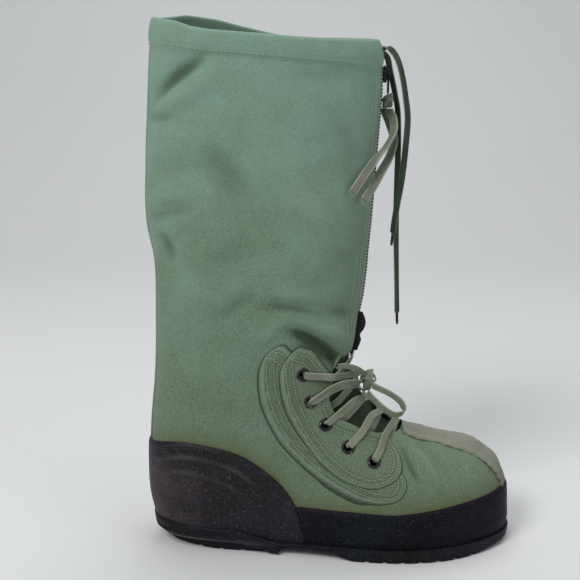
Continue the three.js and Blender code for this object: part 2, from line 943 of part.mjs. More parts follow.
function ball(radius, scale, centre, columns = 10, rows = 6) {
  const geometry = new THREE.SphereGeometry(radius, columns, rows);
  geometry.scale(...scale);
  geometry.translate(centre.x, centre.y, centre.z);
  return solid(geometry);
}

function makePullKnot() {
  return ball(knotRadius, knotScale, knotCentre);
}

// The black fold of tape that pokes out where the zip ends. Each bulge is how far it stands out.
const foldBottom = zipBottom + 4;
const foldTop = zipBottom + 38;
const foldBulges = [1.5, 4.5, 6, 5, 2.5, 4.5, 3, 1.2];
const foldHalf = 1.6;

function makeZipFold() {
  const inner = [];
  const outer = [];
  const seat = teethRise + 3 * gap;
  foldBulges.forEach((bulge, i) => {
    const z = foldBottom + ((foldTop - foldBottom) * i) / (foldBulges.length - 1);
    const s = sectionOfFront(z);
    const near = frontLine(s, seat);
    const far = frontLine(s, seat + bulge);
    inner.push([near.x, near.z]);
    outer.unshift([far.x, far.z]);
  });
  return sidePrism([...inner, ...outer].reverse(), foldHalf);
}

// Free tapes and cords. Each route is a short list of places chosen by hand.
const tapeSides = 8;
const cornerGrowth = 1.08;

// A flat cord: an extruded rounded section along a smooth route.
function cord(route, width, thickness, steps) {
  const places = route.map((p) => new THREE.Vector3(...p));
  const curve = new THREE.CatmullRomCurve3(places, false, "centripetal");
  const shape = new THREE.Shape();
  for (let i = 0; i < tapeSides; i += 1) {
    const turn = (2 * Math.PI * (i + 0.5)) / tapeSides;
    const x = (thickness / 2) * Math.sin(turn) * cornerGrowth;
    const y = (width / 2) * Math.cos(turn) * cornerGrowth;
    if (i === 0) {
      shape.moveTo(x, y);
    } else {
      shape.lineTo(x, y);
    }
  }
  return new THREE.ExtrudeGeometry(shape, { steps, bevelEnabled: false, extrudePath: curve });
}

const cordWidth = 5;
const cordThickness = 1.6;
const tailWidth = 7;
const cordSteps = 15;
const tailSteps = 9;
const loopSteps = 14;
const tipSteps = 5;
const aglet = { radius: 1.2, taper: 0.7, length: 11, sides: 8 };

const hemFront = heelBack + 189;
const outerCordRoute = [
  [hemFront + 1.4, -9, 415],
  [hemFront + 9, -10, 415],
  [hemFront + 15, -11, 407],
  [hemFront + 19, -12, 394],
  [hemFront + 22, -12, 378],
  [hemFront + 24, -12, 362],
  [hemFront + 23, -12, 340],
  [hemFront + 21, -12, 316],
  [hemFront + 18, -12, 296],
  [hemFront + 16, -12, 282],
  [hemFront + 15, -12, 272],
];
const innerCordRoute = [
  [hemFront + 2.6, 9, 414],
  [hemFront + 9, 10, 409],
  [hemFront + 12, 11, 398],
  [hemFront + 16, 12, 382],
  [hemFront + 19, 12, 366],
  [hemFront + 20, 12, 340],
  [hemFront + 20, 12, 310],
  [hemFront + 20, 12, 280],
  [hemFront + 21, 12, 250],
  [hemFront + 22, 12, 225],
  [hemFront + 23, 12, 199],
];

// The tails hang just below the knot, clear of the pull's swing.
const tailTop = knotCentre.z - knotScale[2] * knotRadius - 2 * gap;
const tailOneRoute = [
  [knotCentre.x + 1.4, -2.2, tailTop],
  [knotCentre.x + 1.6, -2.6, tailTop - 3],
  [knotCentre.x + 4, -6, tailTop - 7],
  [knotCentre.x + 4, -13, tailTop - 17],
  [knotCentre.x - 2, -21, tailTop - 27],
  [knotCentre.x - 12, -29, tailTop - 38],
  [knotCentre.x - 21, -35, tailTop - 50],
  [knotCentre.x - 29, -39.5, tailTop - 61],
];
const tailTwoRoute = [
  [knotCentre.x - 1.5, 2.2, tailTop],
  [knotCentre.x - 1.3, 2.2, tailTop - 3],
  [knotCentre.x + 2.4, 0.6, tailTop - 12],
  [knotCentre.x + 5, -7, tailTop - 24],
  [knotCentre.x + 1, -16, tailTop - 36],
  [knotCentre.x - 6, -24, tailTop - 47],
  [knotCentre.x - 13, -31, tailTop - 58],
  [knotCentre.x - 20, -37, tailTop - 68],
];

function makeAglet(route) {
  const last = new THREE.Vector3(...route[route.length - 1]);
  const before = new THREE.Vector3(...route[route.length - 2]);
  const way = last.clone().sub(before).normalize();
  const tip = aglet.radius * aglet.taper;
  const geometry = new THREE.CylinderGeometry(aglet.radius, tip, aglet.length, aglet.sides);
  geometry.applyQuaternion(new THREE.Quaternion().setFromUnitVectors(new THREE.Vector3(0, -1, 0), way));
  const centre = last.addScaledVector(way, aglet.length / 2 + gap);
  geometry.translate(...centre.toArray());
  return geometry;
}

// The bow: a knot over the throat, one loop towards the toe and one end towards the heel
const bowLift = 8.9;
const bowSeat = search((p) => Math.hypot(p.y + 7, p.z - 0.89 * instepHeight), -1, 0);
const bowKnot = offsetPoint(bowSeat.s, bowSeat.turn, bowLift);
const bowKnotRadius = 6;
const bowWidth = 6;
const bowThickness = 1.4;
const bow = (x, y, z) => [bowKnot.x + x, bowKnot.y + y, bowKnot.z + z];
const loopRoute = [
  bow(3.1, -5.7, -2.7),
  bow(9, -11, -4),
  bow(19, -15, -8),
  bow(27, -16, -15),
  bow(28, -16, -22),
  bow(22, -16, -25),
  bow(13, -17, -20),
  bow(4, -15, -12),
  bow(-1, -9.5, -7.5),
];
const endRoute = [
  bow(-6.8, -5.4, -0.6),
  bow(-14, -14, 3),
  bow(-24, -24.8, 5.6),
  bow(-34, -34.5, 4.5),
  bow(-43, -41.5, 0.5),
  bow(-50, -45, -3.5),
];
const tipRoute = [
  bow(-3.5, -4, 6.8),
  bow(-10, -10, 13),
  bow(-16, -16, 17),
  bow(-22, -22, 20),
  bow(-27, -27, 21),
];

function makeBowKnot() {
  return ball(bowKnotRadius, [1, 1, 1], bowKnot);
}

// Materials, by the look of each surface
function material(color, roughness, metalness = 0) {
  return new THREE.MeshStandardMaterial({ color, roughness, metalness });
}

const canvas = material(0x6d8770, 0.9);
const stayCanvas = material(0x708572, 0.9);
const khaki = material(0x80826b, 0.88);
const rubber = material(0x24222a, 0.6);
const blackMetal = material(0x17181a, 0.4, 0.6);
const zipTape = material(0x5d6f5e, 0.9);
const cordGreen = material(0x3f4a3c, 0.85);
const insoleFelt = material(0x8a8474, 0.95);

const boot = new THREE.Group();

function add(name, shape, look) {
  const geometry = shape.isBufferGeometry ? shape : geometryOf(shape);
  const mesh = new THREE.Mesh(geometry, look);
  mesh.name = name;
  boot.add(mesh);
}

add("upper", makeUpper(), canvas);
add("back_seam", makeBackSeam(), canvas);
add("tongue", makeTongue(), canvas);
add("insole", makeInsole(), insoleFelt);
add("outsole", makeOutsole(), rubber);
add("heel_counter", makeCounter(), rubber);
add("foxing", makeFoxing(), rubber);
add("toe_tape", makeToeTape(), khaki);

for (const [name, sign] of [["outer", -1], ["inner", 1]]) {
  add(`patch_${name}`, makePatch(sign), stayCanvas);
  add(`eyestay_${name}`, makeStay(sign), stayCanvas);
  const seats = sign < 0 ? outerSeats : innerSeats;
  seats.forEach((seat, i) => {
    add(`eyelet_${name}_${i + 1}`, eyelet(seat, eyeletLifts[name]), blackMetal);
  });
}

crossings.forEach((row, level) => {
  add(`lace_crossing_${level + 1}`, laceCrossing(row, level), khaki);
});

add("zip", makeZip(), zipTape);
add("zip_slider", makeSlider(), blackMetal);
add("zip_pull", makePullTab(), blackMetal);
add("zip_fold", makeZipFold(), blackMetal);
add("pull_knot", makePullKnot(), khaki);
add("pull_tail_1", cord(tailOneRoute, tailWidth, cordThickness, tailSteps), khaki);
add("pull_tail_2", cord(tailTwoRoute, tailWidth, cordThickness, tailSteps), khaki);

add("bow_knot", makeBowKnot(), khaki);
add("bow_loop", cord(loopRoute, bowWidth, bowThickness, loopSteps), khaki);
add("bow_end", cord(endRoute, bowWidth, bowThickness, tailSteps), khaki);
add("bow_tip", cord(tipRoute, bowWidth, bowThickness, tipSteps), khaki);

add("drawcord_outer", cord(outerCordRoute, cordWidth, cordThickness, cordSteps), cordGreen);
add("drawcord_inner", cord(innerCordRoute, cordWidth, cordThickness, cordSteps), cordGreen);
add("aglet_outer", makeAglet(outerCordRoute), cordGreen);
add("aglet_inner", makeAglet(innerCordRoute), cordGreen);

export default boot;
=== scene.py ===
"""A tall canvas mukluk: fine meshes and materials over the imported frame. Lengths are in millimetres
until a mesh is made."""
import math

import bmesh
import bpy
import numpy as np
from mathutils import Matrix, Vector
from mathutils.bvhtree import BVHTree
from mathutils.geometry import delaunay_2d_cdt


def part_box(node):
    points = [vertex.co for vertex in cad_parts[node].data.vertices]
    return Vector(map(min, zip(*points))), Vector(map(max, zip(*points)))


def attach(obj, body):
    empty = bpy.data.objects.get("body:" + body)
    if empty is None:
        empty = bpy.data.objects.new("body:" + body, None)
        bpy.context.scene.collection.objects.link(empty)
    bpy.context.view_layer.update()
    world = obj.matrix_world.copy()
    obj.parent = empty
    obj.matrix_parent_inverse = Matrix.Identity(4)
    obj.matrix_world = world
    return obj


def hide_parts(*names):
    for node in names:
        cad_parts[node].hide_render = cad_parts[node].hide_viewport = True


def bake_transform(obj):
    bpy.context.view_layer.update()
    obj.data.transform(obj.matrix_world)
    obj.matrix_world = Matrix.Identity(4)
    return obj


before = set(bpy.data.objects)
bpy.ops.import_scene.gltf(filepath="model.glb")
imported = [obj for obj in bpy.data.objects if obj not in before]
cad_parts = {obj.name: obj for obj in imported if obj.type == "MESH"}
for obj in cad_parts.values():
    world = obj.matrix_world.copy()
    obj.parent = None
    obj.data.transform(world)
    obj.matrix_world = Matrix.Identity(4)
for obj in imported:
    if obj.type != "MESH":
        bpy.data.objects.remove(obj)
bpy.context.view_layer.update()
MM = 0.001

# Sizes of the boot
FOOT_LENGTH = 310.0
BALL_WIDTH = 106.0
INSTEP = 160.0
COLLAR = 428.0
SHAFT_DEPTH = 180.0
SHAFT_WIDTH = 94.0
HEEL_BACK = -66.0
SHAFT_AXIS = HEEL_BACK + 101.0
CANVAS_WALL = 2.0
GAP = 0.3
PATCH_THICKNESS = 1.0
STAY_THICKNESS = 1.1
RUBBER_WALL = 3.0
SLIT_HALF = 5.3

# Sections from the toe to the collar: back and front ends, half width, the superellipse powers of
# the front and the back, and the shift to the inner side
FOOT_ROWS = [
    (0.996, 0.13, 0.997, 0.28, 0.035, 2.2, 2.2, 0.05),
    (0.993, 0.02, 0.993, 0.335, 0.13, 2.0, 2.6, 0.055),
    (0.976, -0.06, 0.976, 0.412, 0.235, 1.85, 3.0, 0.065),
    (0.945, -0.1, 0.945, 0.48, 0.315, 1.7, 3.6, 0.06),
    (0.895, -0.12, 0.897, 0.538, 0.395, 1.6, 4.0, 0.045),
    (0.81, -0.12, 0.818, 0.58, 0.475, 1.55, 4.0, 0.02),
    (0.71, -0.12, 0.725, 0.628, 0.5, 1.5, 4.0, 0),
    (0.6, -0.12, 0.652, 0.705, 0.4825, 1.5, 4.0, -0.01),
    (0.49, -0.12, 0.6, 0.815, 0.4375, 1.55, 4.0, -0.015),
    (0.36, -0.12, 0.568, 0.965, 0.395, 1.75, 3.6, -0.01),
    (0.23, -0.12, 0.562, 1.105, 0.39, 2.0, 3.0, -0.005),
    (0.12, -0.08, 0.57, 1.215, 0.395, 2.2, 2.6, 0),
    (0.045, 0.03, 0.576, 1.29, 0.4, 2.3, 2.4, 0),
    (0.009, 0.23, 0.583, 1.36, 0.405, 2.4, 2.3, 0),
    (0.004, 0.45, 0.587, 1.43, 0.4125, 2.4, 2.3, 0),
    (0.011, 0.68, 0.591, 1.51, 0.42, 2.4, 2.3, 0),
]
LEG_ROWS = [
    (-0.515, 0.36, 0.462, 0.6, 0.48, 2.4, 2.4, 0),
    (-0.503, 0.47, 0.472, 0.65, 0.495, 2.4, 2.4, 0),
    (-0.5, 0.575, 0.481, 0.705, 0.5, 2.4, 2.4, 0),
    (-0.531, 0.66, 0.488, 0.755, 0.505, 2.4, 2.4, 0),
    (-0.524, 0.765, 0.498, 0.82, 0.505, 2.4, 2.4, 0),
    (-0.508, 0.865, 0.508, 0.89, 0.5, 2.4, 2.4, 0),
    (-0.492, 0.955, 0.505, 0.952, 0.5, 2.4, 2.4, 0),
    (-0.476, 1.02, 0.49, 0.985, 0.49, 2.4, 2.4, 0),
]


def section_table():
    foot = np.array(FOOT_ROWS, float)
    foot[:, [0, 2]] = HEEL_BACK + foot[:, [0, 2]] * FOOT_LENGTH
    foot[:, [1, 3]] *= INSTEP
    foot[:, [4, 7]] *= BALL_WIDTH
    leg = np.array(LEG_ROWS, float)
    leg[:, [0, 2]] = SHAFT_AXIS + leg[:, [0, 2]] * SHAFT_DEPTH
    leg[:, [1, 3]] *= COLLAR
    leg[:, 4] *= SHAFT_WIDTH
    return np.vstack([foot, leg])


SECTIONS = section_table()
LAST = len(SECTIONS) - 1


def sections_at(s):
    s = np.asarray(s, float)
    i = np.clip(np.floor(s).astype(int), 0, LAST - 1)
    t = (s - i)[..., None]
    padded = np.vstack([2 * SECTIONS[0] - SECTIONS[1], SECTIONS, 2 * SECTIONS[-1] - SECTIONS[-2]])
    a, b, c, d = (padded[i + k] for k in range(4))
    square = 2 * a - 5 * b + 4 * c - d
    cube = 3 * b - a - 3 * c + d
    return 0.5 * (2 * b + (c - a) * t + square * t**2 + cube * t**3)


def face(s, turn):
    """Points of the canvas's outer face. Turn 0 is the front ridge, negative the outer side."""
    s, turn = np.broadcast_arrays(np.asarray(s, float), np.asarray(turn, float))
    back_x, back_z, front_x, front_z, half, upper, lower, shift = np.moveaxis(sections_at(s), -1, 0)
    c, d = np.cos(turn), np.sin(turn)
    power = lower + (upper - lower) * (0.5 + 0.5 * c)
    along = np.sign(c) * np.abs(c) ** (2 / power)
    across = np.sign(d) * np.abs(d) ** (2 / power)
    x = (back_x + front_x + along * (front_x - back_x)) / 2
    z = (back_z + front_z + along * (front_z - back_z)) / 2
    near_collar = np.maximum(0, z / COLLAR - 0.8) / 0.2
    return np.stack([x, shift + across * half, z + 4 * across * near_collar], -1)


def unit(v):
    return v / np.maximum(np.linalg.norm(v, axis=-1, keepdims=True), 1e-9)


def face_normal(s, turn, step=0.04):
    low = np.maximum(np.asarray(s, float) - step, 0)
    high = np.minimum(np.asarray(s, float) + step, LAST)
    lengthwise = face(high, turn) - face(low, turn)
    around = face(s, np.asarray(turn) + step) - face(s, np.asarray(turn) - step)
    return unit(np.cross(around, lengthwise))


def smooth(x, low, high):
    t = np.clip((x - low) / (high - low), 0, 1)
    return t * t * (3 - 2 * t)


FOLD_SCALE = 1.2

# Creases, listed one by one. Side -1 is the outer side of the leg, 1 the inner, 0 both. Depth is
# negative for a trough and positive for a ridge, width is the half width of the soft profile.
FOLDS = [
    # the ankle's deep crease over the stay and the swell above it
    (-1, [(54, 200), (66, 193), (80, 182), (94, 169), (103, 160)], -6.4, 5.2),
    (-1, [(44, 208), (58, 208), (76, 203), (93, 194), (105, 183)], 3.6, 7.0),
    (-1, [(28, 188), (38, 197), (48, 202)], 1.8, 7.0),
    (-1, [(34, 220), (50, 217), (63, 214), (76, 209), (87, 203)], -3.2, 5.4),
    (-1, [(28, 233), (50, 229), (72, 226), (92, 224)], 2.0, 7.5),
    (-1, [(-12, 350), (4, 322), (18, 298), (31, 278)], -0.9, 13.0),
    (-1, [(32, 314), (60, 296), (90, 279)], 1.6, 9.0),
    (-1, [(-34, 345), (-14, 352), (10, 368), (30, 372)], 1.3, 9.0),
    (-1, [(84, 214), (97, 210), (106, 204)], -1.8, 6.0),
    # the shaft
    (-1, [(-6, 203), (3, 213), (22, 227), (34, 232)], -1.5, 7.0),
    (-1, [(-2, 222), (12, 233), (26, 240)], 1.3, 8.0),
    (-1, [(-6, 410), (-20, 401), (-34, 391), (-50, 374)], -3.4, 6.0),
    (-1, [(-2, 396), (-18, 386), (-34, 377), (-52, 362)], 2.2, 8.0),
    (-1, [(-58, 366), (-48, 364), (-32, 369)], -3.0, 6.0),
    (-1, [(-58, 320), (-42, 322), (-20, 330)], -1.4, 10.0),
    (-1, [(-60, 286), (-50, 288), (-36, 294), (-20, 297)], -2.4, 6.5),
    (-1, [(-56, 298), (-40, 304), (-18, 308)], 1.6, 10.0),
    (-1, [(-50, 276), (-42, 266), (-38, 252)], -2.2, 7.0),
    (-1, [(-30, 274), (-26, 262), (-26, 246)], 1.4, 8.0),
    (-1, [(20, 350), (48, 330), (80, 300), (104, 278)], 1.5, 15.0),
    (-1, [(-6, 340), (28, 312), (62, 284), (98, 258)], -1.1, 13.0),
    (-1, [(30, 402), (64, 396), (100, 396)], -1.1, 9.0),
    (-1, [(84, 376), (98, 352), (108, 326)], -1.2, 10.0),
    (-1, [(-20, 250), (14, 262), (50, 262)], -1.0, 13.0),
    (-1, [(60, 248), (84, 256), (102, 268)], 1.2, 12.0),
    # the inner side of the shaft and ankle
    (1, [(46, 196), (62, 190), (78, 180), (94, 168)], -4.2, 6.0),
    (1, [(40, 206), (60, 208), (82, 202), (100, 190)], 3.2, 11.0),
    (1, [(-56, 288), (-36, 292), (-10, 300)], -2.2, 7.0),
    (1, [(-54, 376), (-30, 384), (0, 398)], -2.4, 8.0),
    (1, [(-20, 330), (20, 318), (66, 292)], 1.6, 14.0),
    (1, [(0, 250), (36, 244), (80, 252)], -1.5, 11.0),
    # the quarter under the ankle
    (-1, [(-40, 150), (-20, 160), (6, 166), (22, 160)], 1.2, 13.0),
    (-1, [(-36, 128), (-8, 134), (20, 126)], -1.0, 11.0),
    (1, [(-40, 146), (-12, 158), (16, 158)], 1.4, 13.0),
    # the vamp: folds that fan out from the throat's end
    (-1, [(148, 95), (153, 86), (158, 76), (163, 66)], -2.6, 3.2),
    (-1, [(150, 98), (160, 90), (170, 80), (178, 68)], 1.9, 4.0),
    (-1, [(153, 99), (168, 90), (181, 80), (190, 68)], -1.7, 4.0),
    (-1, [(166, 96), (182, 86), (196, 74)], 1.3, 5.0),
    (-1, [(186, 84), (198, 76), (206, 66)], -1.1, 5.0),
    (-1, [(196, 84), (210, 74), (218, 64)], 0.9, 5.0),
    (1, [(150, 98), (160, 86), (168, 70)], -2.0, 4.0),
    (1, [(158, 98), (174, 86), (186, 70)], 1.4, 5.0),
    (1, [(176, 92), (192, 80), (204, 66)], -1.2, 5.0),
]


def polyline_distance(points, line):
    """Distance from each (x, z) to a polyline, and how far along it the nearest place lies."""
    line = np.asarray(line, float)
    lengths = np.linalg.norm(np.diff(line, axis=0), axis=1)
    total = lengths.sum()
    best = np.full(len(points), 1e9)
    share = np.zeros(len(points))
    start = 0.0
    for a, b, length in zip(line[:-1], line[1:], lengths):
        t = np.clip(((points - a) @ (b - a)) / length**2, 0, 1)
        d = np.linalg.norm(points - a - t[:, None] * (b - a), axis=1)
        nearer = d < best
        best = np.where(nearer, d, best)
        share = np.where(nearer, (start + t * length) / total, share)
        start += length
    return best, share


def soft_line(line, count=14):
    """A smooth polyline through a few points."""
    points = np.asarray(line, float)
    rows = np.vstack([2 * points[0] - points[1], points, 2 * points[-1] - points[-2]])
    t = np.linspace(0, len(points) - 1, count)
    i = np.minimum(t.astype(int), len(points) - 2)
    f = (t - i)[:, None]
    a, b, c, d = (rows[i + k] for k in range(4))
    return 0.5 * (2 * b + (c - a) * f + (2 * a - 5 * b + 4 * c - d) * f**2 + (3 * b - a - 3 * c + d) * f**3)


def crease(p):
    """The fabric's soft height over the plain form, in millimetres."""
    shape = p.shape[:-1]
    flat = p.reshape(-1, 3)
    x, y, z = flat.T
    height = np.zeros(len(flat))
    xz = flat[:, [0, 2]]
    for side, line, depth, width in FOLDS:
        d, share = polyline_distance(xz, soft_line(line))
        fade = np.sin(np.pi * np.clip(0.06 + 0.88 * share, 0, 1)) ** 0.7
        mask = smooth(side * y, 0, 10) if side else 1
        height += FOLD_SCALE * depth * fade * mask * np.exp(-((d / width) ** 2))
    on_leg = smooth(z, 170, 230) * (1 - smooth(z, 396, 412))
    wave = np.sin(x / 23 + z / 31) * np.sin(z / 41 - x / 57 + np.sign(y) * 0.9)
    height += on_leg * 0.7 * wave * smooth(np.abs(y), 4, 26)
    calm = smooth(z, 50, 62)
    return (height * calm).reshape(shape)


def skin(s, turn, offset=0.0, folds=1.0):
    p = face(s, turn)
    return p + face_normal(s, turn) * (offset + folds * crease(p))[..., None]


def stiff_skin(s, turn, offset):
    """The face of a stiff layer, which follows the ridges but bridges most of each trough."""
    p = face(s, turn)
    height = crease(p)
    height = np.where(height < 0, 0.4 * height, height)
    return p + face_normal(s, turn) * (offset + height)[..., None]


# The throat and the front slit
THROAT_TOP = np.array([HEEL_BACK + 0.563 * FOOT_LENGTH, -9.0, 1.02 * INSTEP])
THROAT_END = np.array([HEEL_BACK + 0.695 * FOOT_LENGTH, -9.0, 0.64 * INSTEP])
THROAT_LENGTH = float(np.linalg.norm(THROAT_END - THROAT_TOP))
THROAT_DOWN = (THROAT_END - THROAT_TOP) / THROAT_LENGTH
THROAT_ALONG = [-0.12, 0.1, 0.35, 0.6, 0.8, 0.93, 0.98, 1.0]
THROAT_HALF = [22.5, 26.5, 27.0, 24.5, 19.0, 10.5, 5.5, 0.0]
SLIT_BOTTOM = 1.02 * INSTEP


def throat_half(along):
    return np.interp(along, THROAT_ALONG, THROAT_HALF)


def openness(p):
    """Positive inside the throat or the slit, as a distance to their edge."""
    t = (p - THROAT_TOP) @ THROAT_DOWN
    along = t / THROAT_LENGTH
    ends = np.minimum(t + 0.12 * THROAT_LENGTH, THROAT_LENGTH - t)
    throat = np.minimum(throat_half(along) - np.abs(p[..., 1] + 9), ends)
    throat = np.where(p[..., 2] < 60, -9, throat)
    slit = np.minimum(SLIT_HALF - np.abs(p[..., 1]), p[..., 2] - SLIT_BOTTOM)
    slit = np.where(p[..., 0] < SHAFT_AXIS, -9, slit)
    return np.maximum(throat, slit)


def edge_turn(s, sign, margin=0.0):
    """The turn of the opening's edge at each section, or 0 where the boot is closed there."""
    turns = np.linspace(0, 1.6, 500)
    s = np.atleast_1d(np.asarray(s, float))
    p = face(s[:, None], sign * turns[None, :])
    value = openness(p) + margin
    inside = value > 0
    out = np.zeros(len(s))
    for k in range(len(s)):
        hits = np.nonzero(inside[k])[0]
        if len(hits) and hits[-1] + 1 < len(turns):
            j = hits[-1]
            f = value[k, j] / (value[k, j] - value[k, j + 1])
            out[k] = turns[j] + f * (turns[j + 1] - turns[j])
    return out


# A dense table of the form, to find the place of a point on it
TABLE_S = np.linspace(0, LAST, 700)
TABLE_T = np.linspace(-math.pi, math.pi, 421)
TABLE_P = face(TABLE_S[:, None], TABLE_T[None, :])


def nearest_place(score, low=-math.pi, high=math.pi):
    """The section and turn with the lowest score, first on the table and then close by."""
    allowed = (TABLE_T >= low) & (TABLE_T <= high)
    values = np.where(allowed[None, :], score(TABLE_P), 1e9)
    i, j = np.unravel_index(np.argmin(values), values.shape)
    s, t = TABLE_S[i], TABLE_T[j]
    for span in (0.05, 0.012):
        ss = np.clip(s + np.linspace(-span, span, 9), 0, LAST)
        tt = np.clip(t + np.linspace(-span, span, 9) / 2, low, high)
        local = score(face(ss[:, None], tt[None, :]))
        i, j = np.unravel_index(np.argmin(local), local.shape)
        s, t = ss[i], tt[j]
    return s, t


def locate(x, z, side):
    low, high = (-math.pi, 0) if side < 0 else (0, math.pi)
    return nearest_place(lambda p: np.hypot(p[..., 0] - x, p[..., 2] - z), low, high)


def throat_place(along, across):
    def score(p):
        t = (p - THROAT_TOP) @ THROAT_DOWN
        return np.hypot(t - along * THROAT_LENGTH, p[..., 1] + 9 - across)

    return nearest_place(score, -math.pi / 2, math.pi / 2)


def place_of(point):
    return nearest_place(lambda p: np.linalg.norm(p - point, axis=-1))


# Meshes
def new_mesh(name, points, faces, material, body="root", uv=None, attributes=None, flat=False):
    mesh = bpy.data.meshes.new(name)
    mesh.from_pydata((np.asarray(points, float) * MM).tolist(), [], [tuple(f) for f in faces])
    mesh.validate()
    if uv is not None:
        layer = mesh.uv_layers.new(name="cloth")
        index = np.empty(len(mesh.loops), dtype=np.int32)
        mesh.loops.foreach_get("vertex_index", index)
        layer.data.foreach_set("uv", np.asarray(uv, float)[index].ravel())
    for key, values in (attributes or {}).items():
        mesh.attributes.new(key, "FLOAT", "POINT").data.foreach_set("value", np.asarray(values, float))
    mesh.polygons.foreach_set("use_smooth", [not flat] * len(mesh.polygons))
    obj = bpy.data.objects.new(name, mesh)
    bpy.context.collection.objects.link(obj)
    obj.data.materials.append(material)
    if body:
        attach(obj, body)
    return obj


def grid_faces(rows, columns, start=0, closed=False):
    i = np.arange(rows - 1)[:, None]
    j = np.arange(columns if closed else columns - 1)[None, :]
    k = (j + 1) % columns
    quads = np.stack([i * columns + j + 0 * k, i * columns + k, (i + 1) * columns + k, (i + 1) * columns + j], -1)
    return quads.reshape(-1, 4) + start


def grid_uv(points):
    """Cloth coordinates in millimetres: across the columns and along the rows."""
    across = np.linalg.norm(np.diff(points, axis=1), axis=-1).mean(axis=0)
    along = np.linalg.norm(np.diff(points, axis=0), axis=-1).mean(axis=1)
    u = np.concatenate([[0], np.cumsum(across)])
    v = np.concatenate([[0], np.cumsum(along)])
    return np.stack(np.meshgrid(u, v), -1).reshape(-1, 2)


# Materials
class Nodes:
    """A small helper that adds and links shader nodes."""

    def __init__(self, name):
        self.material = bpy.data.materials.new(name)
        self.material.use_nodes = True
        self.tree = self.material.node_tree
        self.shader = self.tree.nodes["Principled BSDF"]

    def link(self, value, socket):
        if hasattr(value, "is_output"):
            self.tree.links.new(value, socket)
        else:
            socket.default_value = value

    def node(self, kind, output=0, settings=None, **inputs):
        node = self.tree.nodes.new(kind)
        for key, value in (settings or {}).items():
            setattr(node, key, value)
        for key, value in inputs.items():
            self.link(value, node.inputs[key.replace("_", " ")])
        return node.outputs[output]

    def math(self, operation, a, b=0.0):
        node = self.tree.nodes.new("ShaderNodeMath")
        node.operation = operation
        self.link(a, node.inputs[0])
        self.link(b, node.inputs[1])
        return node.outputs[0]

    def mix(self, factor, a, b, kind="MIX"):
        node = self.tree.nodes.new("ShaderNodeMix")
        node.data_type = "RGBA"
        node.blend_type = kind
        self.link(factor, node.inputs[0])
        self.link(a, node.inputs[6])
        self.link(b, node.inputs[7])
        return node.outputs[2]

    def noise(self, scale, detail=4.0, roughness=0.55, stretch=None):
        where = self.node("ShaderNodeTexCoord", 3)
        if stretch:
            where = self.node("ShaderNodeMapping", 0, Vector=where, Scale=stretch)
        return self.node("ShaderNodeTexNoise", 0, Vector=where, Scale=scale, Detail=detail, Roughness=roughness)

    def ramp(self, value, low, high, smooth_step=True):
        node = self.tree.nodes.new("ShaderNodeMapRange")
        node.interpolation_type = "SMOOTHSTEP" if smooth_step else "LINEAR"
        self.link(value, node.inputs["Value"])
        node.inputs["From Min"].default_value = low
        node.inputs["From Max"].default_value = high
        return node.outputs[0]

    def attribute(self, name):
        return self.node("ShaderNodeAttribute", 2, {"attribute_name": name})

    def weave(self, pitch, rib=1.0):
        """Crossed threads from the cloth coordinates, which are in millimetres."""
        place = self.node("ShaderNodeUVMap", 0, {"uv_map": "cloth"})
        split = self.tree.nodes.new("ShaderNodeSeparateXYZ")
        self.link(place, split.inputs[0])
        turn = 2 * math.pi / pitch
        warp = self.math("SINE", self.math("MULTIPLY", split.outputs[0], turn))
        weft = self.math("SINE", self.math("MULTIPLY", split.outputs[1], turn * rib))
        return self.math("MULTIPLY", warp, weft)

    def bump(self, height, distance, strength=1.0, normal=None):
        node = self.tree.nodes.new("ShaderNodeBump")
        node.inputs["Strength"].default_value = strength
        node.inputs["Distance"].default_value = distance
        self.link(height, node.inputs["Height"])
        if normal is not None:
            self.link(normal, node.inputs["Normal"])
        return node.outputs[0]

    def finish(self, color, roughness, normal=None, metallic=0.0, specular=0.5, sheen=0.0):
        self.link(color, self.shader.inputs["Base Color"])
        self.link(roughness, self.shader.inputs["Roughness"])
        self.shader.inputs["Metallic"].default_value = metallic
        self.shader.inputs["Specular IOR Level"].default_value = specular
        self.shader.inputs["Sheen Weight"].default_value = sheen
        self.shader.inputs["Sheen Roughness"].default_value = 0.5
        if normal is not None:
            self.link(normal, self.shader.inputs["Normal"])
        return self.material


def rgb(red, green, blue):
    """A linear colour from sRGB values out of 255."""
    def linear(v):
        v /= 255
        return v / 12.92 if v <= 0.04045 else ((v + 0.055) / 1.055) ** 2.4

    return (linear(red), linear(green), linear(blue), 1.0)


